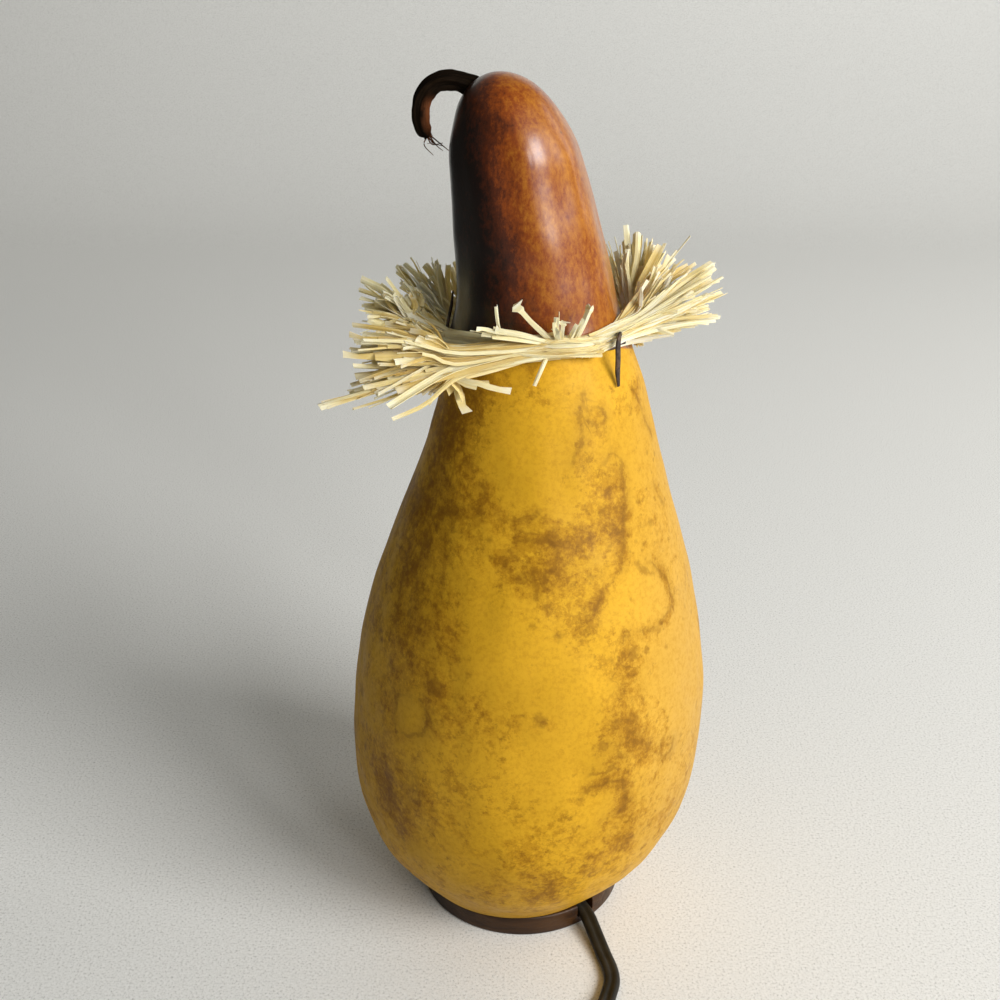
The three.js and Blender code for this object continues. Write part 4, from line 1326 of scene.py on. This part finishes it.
    def laid(self, straw: Straw) -> Piece:
        """Copies the model of a straw and lays the copy along its line.

        Args:
            straw: The straw.

        Returns:
            The copy, with its own mesh.
        """
        model = self.models[straw.end]
        piece = bpy.data.objects.new("straw", model.data.copy())
        bpy.context.scene.collection.objects.link(piece)
        flat = points_of(piece.data)
        line = smooth_line(straw.line, 33)
        along = tangents(line)
        side = unit(np.cross(along, straw.face))
        over = np.cross(side, along)
        share = np.clip(flat[:, 1], 0, 1) * (len(line) - 1)
        low = np.minimum(share.astype(int), len(line) - 2)
        part = (share - low)[:, None]
        roll = (straw.roll + straw.twist * flat[:, 1])[:, None]

        def at(values: np.ndarray) -> np.ndarray:
            """Values read between stations."""
            return values[low] * (1 - part) + values[low + 1] * part

        a, b = at(side), at(over)
        across = np.cos(roll) * a + np.sin(roll) * b
        upward = np.cos(roll) * b - np.sin(roll) * a
        beyond = (flat[:, 1] - np.clip(flat[:, 1], 0, 1))[:, None] * 20 * MM * along[-1]
        width = straw.width * MM
        folded = straw.crease * flat[:, 2:]
        set_points(piece.data, at(line) + beyond + width * (flat[:, :1] * across + folded * upward))
        set_attribute(piece.data, "tint", np.full(len(flat), straw.tint))
        return piece

    def sheaf_straws(self, sheaf: Sheaf, draw: random.Random) -> list[Straw]:
        """Draws the straws of a sheaf: bound together at the waist, then fanned out to their tips.

        Args:
            sheaf: The sheaf.
            draw: Random numbers.

        Returns:
            Its straws.
        """
        end = np.array(sheaf.end) * MM
        root = WAIST.point(sheaf.tied, 1.5)
        way = unit(end - root)
        across = unit(np.cross(UP, way))
        upward = np.cross(way, across)
        tips = [(np.array(tip) * MM, width, True) for tip, width in sheaf.singles]
        tips += [(sheaf.any_tip(draw), self.any_width(draw), False) for _ in range(sheaf.count)]
        low, high = np.array(sheaf.low) * MM, np.array(sheaf.high) * MM
        straws = []
        centre, reach = (low + high) / 2, np.linalg.norm(high - low) / 2
        for tip, width, single in tips:
            spread = np.array([(tip - centre) @ across, (tip - centre) @ upward]) / (0.7 * reach)
            spread = np.clip(spread, -1, 1) + np.array([draw.uniform(-0.3, 0.3), draw.uniform(-0.3, 0.3)])
            start = WAIST.point(sheaf.tied + draw.uniform(-7, 7), draw.uniform(0.8, 3.2),
                                draw.uniform(-2.8, 2.8))
            bound = end + MM * 0.7 * (across * sheaf.half[0] * spread[0] + upward * sheaf.half[1] * spread[1])
            middle = (start + bound) / 2 + MM * 0.5 * upward * draw.uniform(-1, 1)
            kink = MM * np.array([draw.uniform(-0.9, 0.9) for _ in range(3)])
            bow = (bound + tip) / 2 + kink + MM * np.array([0, 0, draw.uniform(-0.8, 1.6)])
            line = SKIN.kept_out(np.array([start, middle, bound, bow, tip]), 1.0)
            low_end = single and tip[2] < 209 * MM and tip[0] > -0.03
            straws.append(Straw(line, width, StrawEnd.FLARED if low_end else self.any_end(draw),
                                self.front if single else tuple(UP),
                                draw.uniform(-0.5, 0.5) if single else draw.uniform(-1.4, 1.4),
                                draw.uniform(-0.9, 0.9), sheaf.tint + draw.uniform(-0.4, 0.34),
                                draw.choice((-1.2, -0.7, 0.6, 1.0, 1.4))))
        return straws

    def any_width(self, draw: random.Random) -> float:
        """A straw's width: mostly thin, now and then broad."""
        return draw.triangular(0.7, 3.0, 1.2)

    def any_end(self, draw: random.Random) -> StrawEnd:
        """How one more straw ends."""
        return draw.choice((StrawEnd.CUT, StrawEnd.CUT, StrawEnd.CUT, StrawEnd.FRAYED, StrawEnd.FLARED))

    def curl_straws(self, draw: random.Random) -> list[Straw]:
        """The short curls that stand up over the knot in front."""
        straws = []
        for tied, tip, width, end in self.curls:
            tip = np.array(tip) * MM
            lift = 1.4 if tip[2] > 219 * MM else -1.4
            start = WAIST.point(tied, 2.2, lift)
            middle = (start + tip) / 2 + MM * np.array([draw.uniform(-0.6, 0.6), -1.2, 0.4])
            line = SKIN.kept_out(np.array([start, middle, tip]), 1.2)
            straws.append(Straw(line, width, end, self.front, draw.uniform(-0.5, 0.5),
                                draw.uniform(-1.3, 1.3), 0.75))
        return straws

    def back_straws(self, draw: random.Random) -> list[Straw]:
        """The straw that stands out all along the back."""
        straws = []
        for k in range(self.back_count):
            tied = self.back_from + (self.back_to - self.back_from) * (k + draw.random()) / self.back_count
            out = math.radians(tied + draw.uniform(-7, 7))
            reach = draw.uniform(45, 58) * MM
            tip = np.array([4 * MM + reach * math.cos(out), reach * math.sin(out),
                            draw.uniform(205, 229) * MM])
            start = WAIST.point(tied + draw.uniform(-14, 14), draw.uniform(0.6, 2.6),
                                draw.uniform(-2.4, 2.4))
            middle = start * 0.55 + tip * 0.45 + MM * np.array([0, 0, draw.uniform(-0.5, 3.0)])
            line = SKIN.kept_out(np.array([start, middle, tip]), 1.0)
            straws.append(Straw(line, self.any_width(draw), self.any_end(draw), tuple(UP),
                                draw.uniform(-1.4, 1.4), draw.uniform(-0.9, 0.9),
                                0.5 + draw.uniform(-0.3, 0.35)))
        return straws

    def wrap_straws(self, draw: random.Random) -> list[Straw]:
        """The strands that lie round the waist, from the knot in front round the left and back."""
        straws = []
        for k in range(self.wraps):
            start = draw.uniform(-76, -66) if k % 2 else draw.uniform(-250, -110)
            span = draw.uniform(100, 210)
            stop = max(start - span, -352)
            lift = draw.uniform(-2.2, 2.2)
            away = draw.uniform(1.3, 3.2)
            count = max(4, int((start - stop) / 14))
            line = [WAIST.point(a, away + draw.uniform(-0.2, 0.3), lift + draw.uniform(-0.5, 0.5))
                    for a in np.linspace(start, stop, count)]
            straws.append(Straw(np.array(line), draw.uniform(1.6, 3.6), StrawEnd.CUT, tuple(UP),
                                math.pi / 2 + draw.uniform(-0.3, 0.3), 0.0, 0.55 + draw.uniform(-0.32, 0.25)))
        return straws

    def crossing_straws(self, draw: random.Random) -> list[Straw]:
        """The strands that cross over the knot in front, out of one sheaf into the other."""
        straws = []
        for k in range(self.crossings):
            from_sheaf, into = self.sheaves[k % 2], self.sheaves[1 - k % 2]
            tip = into.any_tip(draw)
            lift, away = draw.uniform(-2.4, 2.6), draw.uniform(2.8, 4.2)
            start = from_sheaf.tied + 0.35 * (from_sheaf.tied - into.tied) * draw.random()
            knot = [WAIST.point(a, away, lift + draw.uniform(-0.5, 0.5))
                    for a in np.linspace(start, into.tied, 4)]
            bound = np.array(into.end) * MM + MM * np.array([draw.uniform(-3, 3) for _ in range(3)])
            line = SKIN.kept_out(np.array([*knot, bound, tip]), 1.2)
            straws.append(Straw(line, self.any_width(draw), self.any_end(draw), self.front,
                                draw.uniform(-0.7, 0.7), draw.uniform(-0.9, 0.9),
                                0.6 + draw.uniform(-0.3, 0.3), draw.choice((-1.0, 0.8, 1.2))))
        return straws

    def strip_on_line(self) -> Straw:
        """The single thin strip that lies along the edge of the stain on the right."""
        line = [WAIST.point(-58, 0.7, 0.2), WAIST.point(-40, 0.8, -0.3), WAIST.point(-24, 1.6, 0.2),
                np.array((46, -13, 218.5)) * MM]
        return Straw(np.array(line), 2.0, StrawEnd.FRAYED, self.front, 0.3, -0.6, 0.95)

    def build(self) -> Piece:
        """Models, lays and thickens all the straw.

        Returns:
            The finished piece.
        """
        draw = random.Random(self.seed)
        for end in StrawEnd:
            self.models[end] = self.model(end)
        straws = [straw for sheaf in self.sheaves for straw in self.sheaf_straws(sheaf, draw)]
        straws += self.curl_straws(draw) + self.back_straws(draw) + self.wrap_straws(draw)
        straws += self.crossing_straws(draw)
        straws.append(self.strip_on_line())
        piece = joined("straw_ruff", [self.laid(straw) for straw in straws])
        for model in self.models.values():
            bpy.data.objects.remove(model)
        apply(piece, "SOLIDIFY", thickness=self.thick * MM, offset=0.0)
        LOG.info("straws: %d", len(straws))
        return dressed(piece, DryStraw().material(), "raffia", "raffia_ruff", angle=35)


@dataclass
class Thong:
    """The leather thong: round the waist more than once, with a tail in front and an end up on the left."""

    half: tuple[float, float] = (0.95, 0.5)
    tail_angle: float = -46.5
    tail_low: float = 205.0
    upright_angle: float = 184.0
    upright_high: float = 229.0
    stations: int = 320

    def line(self) -> np.ndarray:
        """The thong's middle line, from its tail round the waist to its upright end."""
        tail = [SKIN.point(self.tail_angle + 1.5, self.tail_low, 1.1),
                SKIN.point(self.tail_angle + 0.8, 209.5, 2.5),
                SKIN.point(self.tail_angle, 214, 4.6), SKIN.point(self.tail_angle, 218.5, 6.2),
                SKIN.point(self.tail_angle + 4, 221, 5.6), SKIN.point(self.tail_angle + 9, 219.5, 3.0),
                SKIN.point(self.tail_angle + 8, 216.5, 1.0)]
        last = self.upright_angle - 720
        turns = np.arange(self.tail_angle - 6, last + 20, -12)
        ring = [WAIST.point(a, 0.7, -0.9 + 1.6 * (k / len(turns))) for k, a in enumerate(turns)]
        top = [WAIST.point(last + 7, 0.9, 1.6), SKIN.point(last - 1, 219.5, 1.2),
               SKIN.point(last - 3, 224, 1.2), SKIN.point(last - 3.4, self.upright_high, 1.1)]
        return smooth_line(tail + ring + top, self.stations)

    def build(self) -> Piece:
        """Models the thong as a flat lace with soft edges.

        Returns:
            The finished piece.
        """
        line = self.line()
        turn = np.linspace(0, TURN, 12, endpoint=False)
        section = np.column_stack([
            self.half[0] * np.sign(np.cos(turn)) * np.abs(np.cos(turn)) ** 0.7,
            self.half[1] * np.sign(np.sin(turn)) * np.abs(np.sin(turn)) ** 0.7,
        ]) * MM
        outward = [(x - SKIN.axis_x(z / MM) * MM, y, 0.0) for x, y, z in line]
        ends = np.minimum(np.linspace(0, 30, len(line)) + 0.55, 1)
        size = ends * ends[::-1]
        piece = rolled("thong", swept(line, section, 0.0, size, np.array(outward)))
        return dressed(piece, Leather().material(), "thong", "leather_thong", angle=50)


@dataclass
class WoodFoot:
    """The turned foot: a disc with soft edges, a spigot inside the gourd, and the cord's groove. In mm."""

    radius: float = FOOT_RADIUS
    top: float = 8.0
    edge: float = 0.9
    spigot_radius: float = 29.0
    spigot_top: float = 13.0
    groove_floor: float = 3.0
    groove_width: float = 7.4
    well_radius: float = 9.0
    cord_angle: float = CORD_ANGLE
    steps: int = 192

    def corner(self, radius: float, height: float, start: float) -> list[tuple[float, float]]:
        """A rounded corner of the profile.

        Args:
            radius: Radius of the corner's centre.
            height: Height of the corner's centre.
            start: Angle in degrees where the arc starts; it turns a quarter.

        Returns:
            Radius and height of five points.
        """
        angles = [math.radians(start + 22.5 * k) for k in range(5)]
        return [(radius + self.edge * math.cos(a), height + self.edge * math.sin(a)) for a in angles]

    def cut(self, piece: Piece, tool: Piece) -> None:
        """Cuts a tool's form out of a piece and removes the tool."""
        apply(piece, "BOOLEAN", operation="DIFFERENCE", solver="EXACT", object=tool)
        bpy.data.objects.remove(tool)

    def groove(self) -> Piece:
        """The groove's form: a block from the middle out past the rim, its floor edges rounded."""
        length = self.radius + 3
        low, high = self.groove_floor, self.spigot_top + 2
        middle = spun(np.array((length / 2, 0, (low + high) / 2)), self.cord_angle)
        tool = block("groove", (length, self.groove_width, high - low), middle, self.cord_angle)
        apply(tool, "BEVEL", width=0.7 * MM, segments=3, limit_method="ANGLE")
        return tool

    def build(self) -> Piece:
        """Turns the foot and cuts its groove and well.

        Returns:
            The finished piece.
        """
        rim = self.radius - self.edge
        steps = [rim * k / 8 for k in range(8)]
        profile = [(r, 0) for r in steps] + self.corner(rim, self.edge, -90) \
            + [(self.radius, self.top * k / 4) for k in (1, 2, 3)] \
            + self.corner(rim, self.top - self.edge, 0)[1:] \
            + [(self.spigot_radius, self.top), (self.spigot_radius, self.spigot_top), (0, self.spigot_top)]
        piece = turned("foot", profile, self.steps)
        self.cut(piece, self.groove())
        well = turned("well", [(0, self.groove_floor), (self.well_radius, self.groove_floor),
                               (self.well_radius, self.spigot_top + 2), (0, self.spigot_top + 2)], 48)
        self.cut(piece, well)
        apply(piece, "BEVEL", width=0.35 * MM, segments=2, limit_method="ANGLE", angle_limit=math.radians(50))
        tidied(piece, reach=2e-5)
        return dressed(piece, StainedWood().material(), "stained_wood", "wood_foot", angle=35)


@dataclass
class FlatCord:
    """The flat twin flex: out of the foot, over the surface, round its coil and into the plug. In mm."""

    width: float = 5.6
    thick: float = 2.8
    groove: float = 0.45
    length: float = 1.75
    exit_radius: float = FOOT_RADIUS
    angle: float = CORD_ANGLE
    in_groove: float = 4.7
    coil_centre: tuple[float, float] = (-15.0, -126.0)
    coil_outer: float = 37.0
    coil_inner: float = 25.3
    coil_start: float = 3.0
    coil_end: float = -73.4
    coil_turns: int = 8
    coil_join: tuple[float, float] = (4.7, 4.4)
    layers: tuple[float, float] = (2.85, 8.5)
    tie_angle: float = 200.0
    route: tuple[Point, ...] = (
        (23.9, -31.9, 4.4), (25.6, -37.3, 3.3), (27.3, -43, 2.1), (28.9, -49, 1.45), (30.4, -55, 1.45),
        (30.7, -61, 1.45), (28.9, -67.5, 1.5), (26.7, -74, 1.75), (25, -81, 2.05), (24.1, -89, 2.3),
        (24, -98, 2.55), (24.6, -107, 2.75), (25.6, -116, 2.85),
    )
    tail: tuple[Point, ...] = (
        (-9, -166.9, 8.0), (-16, -167.4, 7.4), (-23, -167.4, 7), (-32.5, -167.4, 7),
    )

    def exit_point(self, radius: float, height: float) -> Point:
        """A point over the middle of the foot's groove."""
        turn = math.radians(self.angle)
        return radius * math.cos(turn), radius * math.sin(turn), height

    def coil(self) -> list[Point]:
        """The coil's turns: in along the lower layer, up at the middle and out along the upper one."""
        whole = 360 * self.coil_turns + self.coil_start - self.coil_end
        half = whole / 2
        points = []
        for turned_by in np.arange(0, whole + 1, 10):
            share = turned_by / half
            inwards = share if share <= 1 else 2 - share
            radius = self.coil_outer + (self.coil_inner - self.coil_outer) * inwards
            radius += self.coil_join[0] * (1 - smooth_step(turned_by, 0, 80))
            radius += self.coil_join[1] * smooth_step(turned_by, whole - 70, whole)
            climb = smooth_step(turned_by, half - 70, half + 70)
            height = self.layers[0] + (self.layers[1] - self.layers[0]) * climb
            angle = math.radians(self.coil_start - turned_by)
            lift = 0.5 * math.exp(-((math.degrees(angle) - self.tie_angle + 180) % 360 - 180) ** 2 / 300)
            points.append((self.coil_centre[0] + radius * math.cos(angle),
                           self.coil_centre[1] + radius * math.sin(angle), height + lift))
        return points

    def lines(self) -> tuple[np.ndarray, np.ndarray]:
        """The cord's middle line, and how far it is turned onto its edge at each point.

        Returns:
            The points in metres and the turn in radians.
        """
        start = [self.exit_point(12.5, self.in_groove), self.exit_point(20, self.in_groove),
                 self.exit_point(28, self.in_groove), self.exit_point(34, self.in_groove + 0.1)]
        lead = start + list(self.route)
        points = np.array([*lead, *self.coil(), *self.tail]) * MM
        before, after = len(lead), len(self.tail)
        edge = np.zeros(len(points))
        edge[before - 6:before] = np.linspace(0, 1, 8)[1:-1]
        edge[before:len(points) - after] = 1
        edge[-after - 3:-after + 2] = np.linspace(1, 0, 6)[:-1]
        edge[-after + 2:] = 0
        line = smooth_line(points, 900)
        nearest = [int(np.argmin(np.linalg.norm(line - p, axis=1))) for p in points]
        for k in range(1, len(nearest)):
            ahead = nearest[k - 1] + 1
            nearest[k] = ahead + int(np.argmin(np.linalg.norm(line[ahead:ahead + 40] - points[k], axis=1)))
        return line, np.interp(np.arange(len(line)), nearest, edge) * math.pi / 2

    def section(self) -> np.ndarray:
        """The twin section: two round cores side by side with a groove between them."""
        core = self.thick / 2
        half = self.width / 2
        places = half * np.sin(np.linspace(-math.pi / 2, math.pi / 2, 17))
        heights = np.sqrt(np.maximum(core**2 - (np.abs(places) - (half - core)) ** 2, 0))
        web = core - self.groove * np.exp(-((places / 0.55) ** 2))
        heights = np.where(np.abs(places) < half - core, web, heights)
        top = np.column_stack([places, heights])
        return np.vstack([top, top[-2:0:-1] * (1, -1)]) * MM

    def build(self, on_it: list[Piece]) -> Piece:
        """Args:
            on_it: The pieces on the cord: its tie and its plug; not used.

        Returns:
            The finished piece.
        """
        line, roll = self.lines()
        piece = rolled("flex", swept(line, self.section(), roll))
        measured = float(np.linalg.norm(np.diff(line, axis=0), axis=1).sum())
        LOG.info("flex: %.3f m", measured)
        dressed(piece, FLEX.material(), "cord_brown", "cord_lead", "cord_coil", "cord_tail", angle=60)
        leaves = tuple(MM * v for v in self.exit_point(self.exit_radius, self.in_groove))
        [tuple(p) for p in line]
        return piece


@dataclass
class CoilTie:
    """The strap that holds the coil: a woven band once round its turns, with its end lapped over. In mm."""

    cord: FlatCord
    width: float = 8.0
    thick: float = 0.7
    inner: float = 23.6
    outer: float = 38.7
    top: float = 11.95

    def build(self) -> Piece:
        """Models the band.

        Returns:
            The finished piece.
        """
        middle, half = (self.inner + self.outer) / 2, (self.outer - self.inner) / 2 + 0.3
        low, high = 0.45, self.top
        tall = (high - low) / 2
        loop = []
        for k in range(49):
            turn = TURN * k / 48 * 1.08 - 0.4
            c, s = math.cos(turn), math.sin(turn)
            lap = 0.75 * smooth_step(turn, TURN - 0.9, TURN - 0.2)
            loop.append((middle + (half + lap) * math.copysign(abs(c) ** 0.35, c), 0.0,
                         (low + high) / 2 + (tall + lap) * math.copysign(abs(s) ** 0.35, s)))
        line = smooth_line(loop, 120)
        a, b = self.width / 2, self.thick / 2
        top = [(share * a, b) for share in (1, 0.5, 0, -0.5, -1)]
        flat = np.array([*top, *((x, -y) for x, y in reversed(top))])
        out = np.cross(tangents(line), BACK)
        rings = line[:, None] + flat[None, :, :1] * BACK + flat[None, :, 1:] * out[:, None]
        rings = spun(rings, self.cord.tie_angle) + np.array((*self.cord.coil_centre, 0.0))
        piece = rolled("coil_tie", rings * MM)
        return dressed(piece, WovenStrap().material(), "tie_black", "cord_tie", angle=50)


@dataclass
class Plug:
    """The moulded two-pin plug, tapering back to a ribbed strain relief. In mm."""

    rear: tuple[float, float] = (-30.5, -167.4)
    height: float = 7.0
    relief: float = 11.0
    body: float = 22.0
    width: float = 23.0
    thick: float = 14.0
    steps: Table = (
        (0.0, 0.95), (3.0, 0.84), (0.1, 0.80), (0.55, 0.86), (0.9, 1.0), (0.55, 1.0), (0.35, 1.12),
        (0.9, 1.0), (0.35, 0.89), (3.6, 0.84),
    )

    def build(self) -> Piece:
        """Models the plug from a block: its back is drawn out into the ribbed relief.

        Returns:
            The finished piece.
        """
        back = self.rear[0] - self.relief
        middle = np.array((back - self.body / 2, self.rear[1], self.height))
        piece = block("plug", (self.body, self.width, self.thick), middle)
        apply(piece, "BEVEL", width=2.4 * MM, segments=2, limit_method="ANGLE")
        self.draw_out(piece, back)
        apply(piece, "SUBSURF", levels=2, render_levels=2)
        return dressed(piece, FLEX.material(), "cord_brown", "plug_body", angle=50)

    def draw_out(self, piece: Piece, at: float) -> None:
        """Extrudes the face at the plug's back in steps, each with its length and scale.

        Args:
            piece: The plug.
            at: Where that face is, in mm.
        """
        for face in piece.data.polygons:
            face.select = face.normal.x > 0.9 and abs(face.center.x - at * MM) < 0.05 * MM
        edit(piece, faces=True)
        centre = Vector((0, self.rear[1] * MM, self.height * MM))
        for move, scale in self.steps:
            at += move
            centre.x = at * MM
            bpy.ops.mesh.extrude_region_move(TRANSFORM_OT_translate={"value": (move * MM, 0, 0)})
            bpy.ops.transform.resize(value=(1, scale, scale), center_override=centre)
        bpy.ops.object.mode_set(mode="OBJECT")


@dataclass
class InnerLamp:
    """The lamp's parts that keep their CAD form: holder, screws, bulb, wires and the plug's blades."""

    def dress(self) -> None:
        """Gives each kept node its material."""
        brass, steel, flex = BRASS.material(), STEEL.material(), bpy.data.materials["cord_brown"]
        looks = {
            "lamp_holder": PORCELAIN.material(), "holder_screw_1": steel, "holder_screw_2": steel,
            "bulb_cap": brass, "bulb_glass": BulbGlass().material(), "wire_1": flex, "wire_2": flex,
            "plug_blade_1": brass, "plug_blade_2": brass,
        }
        for name, material in looks.items():
            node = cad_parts[name]
            node.data.materials.clear()
            node.data.materials.append(material)
            LOG.info("%s: dressed", name)


@dataclass(frozen=True)
class SoftLight:
    """A soft light: where it stands, its width and height, its power in watts and its colour."""

    name: str
    place: Point
    size: tuple[float, float]
    power: float
    colour: Colour

    def add(self, aim: Point) -> None:
        """Stands the light in its place, turned to what it points at."""
        data = bpy.data.lights.new(self.name, "AREA")
        data.shape = "RECTANGLE"
        data.size, data.size_y = self.size
        data.energy, data.color = self.power, self.colour
        lamp = bpy.data.objects.new(self.name, data)
        lamp.location = self.place
        lamp.rotation_euler = (Vector(aim) - Vector(self.place)).to_track_quat("-Z", "Y").to_euler()
        bpy.context.scene.collection.objects.link(lamp)


@dataclass
class Studio:
    """The camera where the picture was taken from, a plain pale floor and soft lights."""

    camera_place: Point = (-0.0080, -0.3944, 0.3328)
    tilt: float = 24.1
    lens: float = 45.8
    sensor: float = 36.0
    aim: Point = (0.0, 0.0, 0.16)
    lights: tuple[SoftLight, ...] = (
        SoftLight("key", (1.72, -1.26, 1.26), (1.27, 1.08), 66, (1.0, 0.985, 0.96)),
        SoftLight("front", (0.68, -1.38, 0.84), (0.26, 0.42), 5.5, (1.0, 0.99, 0.97)),
        SoftLight("right", (1.1, 0.35, 0.75), (0.5, 0.8), 2.5, (1.0, 0.98, 0.95)),
    )
    surround: Colour = (0.86, 0.845, 0.77)
    surround_strength: float = 0.18
    floor_size: float = 6.0
    floor_far: float = 1.1
    floor_bend: float = 0.5
    card_place: Point = (-0.62, -0.1, 0.45)
    card_size: tuple[float, float] = (1.9, 0.85)

    def camera(self) -> None:
        """Places the camera."""
        data = bpy.data.cameras.new("camera")
        data.lens, data.sensor_width = self.lens, self.sensor
        data.clip_start, data.clip_end = 0.01, 30
        camera = bpy.data.objects.new("camera", data)
        camera.location = self.camera_place
        camera.rotation_euler = (math.radians(90 - self.tilt), 0, 0)
        bpy.context.scene.collection.objects.link(camera)
        bpy.context.scene.camera = camera

    def floor(self) -> None:
        """Lays the floor and curves it up far behind."""
        floor = grid("floor", 8, 64, self.floor_size)
        points = points_of(floor.data)
        bend, far = self.floor_bend, self.floor_far
        for k, (x, y, _) in enumerate(points):
            over = y - far
            if over > 0:
                arc = min(over / bend, math.pi / 2)
                rise = max(over - bend * math.pi / 2, 0)
                points[k] = (x, far + bend * math.sin(arc), bend * (1 - math.cos(arc)) + rise)
        set_points(floor.data, points)
        bpy.ops.object.shade_smooth()
        g = Graph("floor")
        grains = g.noise(1100, detail=2, roughness=0.8)
        colour = g.ramp(grains, (0.27, (0.45, 0.45, 0.44)), (0.45, (0.80, 0.805, 0.785)),
                        (0.58, (0.86, 0.865, 0.85)), (0.75, (0.96, 0.96, 0.95)))
        floor.data.materials.append(g.finish(colour, 0.5))
        floor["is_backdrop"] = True

    def surroundings(self) -> None:
        """Gives the scene its pale surround and plain view."""
        world = bpy.data.worlds.new("surround")
        world.use_nodes = True
        back = world.node_tree.nodes["Background"]
        back.inputs["Color"].default_value = (*self.surround, 1)
        back.inputs["Strength"].default_value = self.surround_strength
        bpy.context.scene.world = world
        bpy.context.scene.view_settings.view_transform = "Standard"

    def dark_card(self) -> None:
        """Stands a dark card out of view on the left, which the glossy neck mirrors."""
        nothing_selected()
        bpy.ops.mesh.primitive_plane_add(size=1)
        card = named("dark_card")
        flat = points_of(card.data)
        x, y, z = self.card_place
        wide, tall = self.card_size
        set_points(card.data, np.column_stack([np.full(4, x), y + wide * flat[:, 0], z + tall * flat[:, 1]]))
        g = Graph("dark_card")
        card.data.materials.append(g.finish((0.012, 0.016, 0.014), 0.6))
        card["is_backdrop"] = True

    def build(self) -> None:
        """Sets up floor, card, lights and surround."""
        self.floor()
        self.dark_card()
        for light in self.lights:
            light.add(self.aim)
        self.surroundings()


def main() -> None:
    """Builds the lamp: camera and cord first, then every other piece."""
    logging.basicConfig(level=logging.INFO, format="%(name)s: %(message)s")
    studio = Studio()
    studio.camera()
    flex = FlatCord()
    tie = CoilTie(flex).build()
    plug = Plug().build()
    flex.build([tie, plug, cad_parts["plug_blade_1"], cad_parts["plug_blade_2"]])
    Gourd().build()
    Stem().build()
    RaffiaRuff().build()
    Thong().build()
    WoodFoot().build()
    InnerLamp().dress()
    studio.build()
    nothing_selected()
    [[list(corner) for corner in box] for box in (CAD_BOX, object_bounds())]


if __name__ == "__main__":
    main()
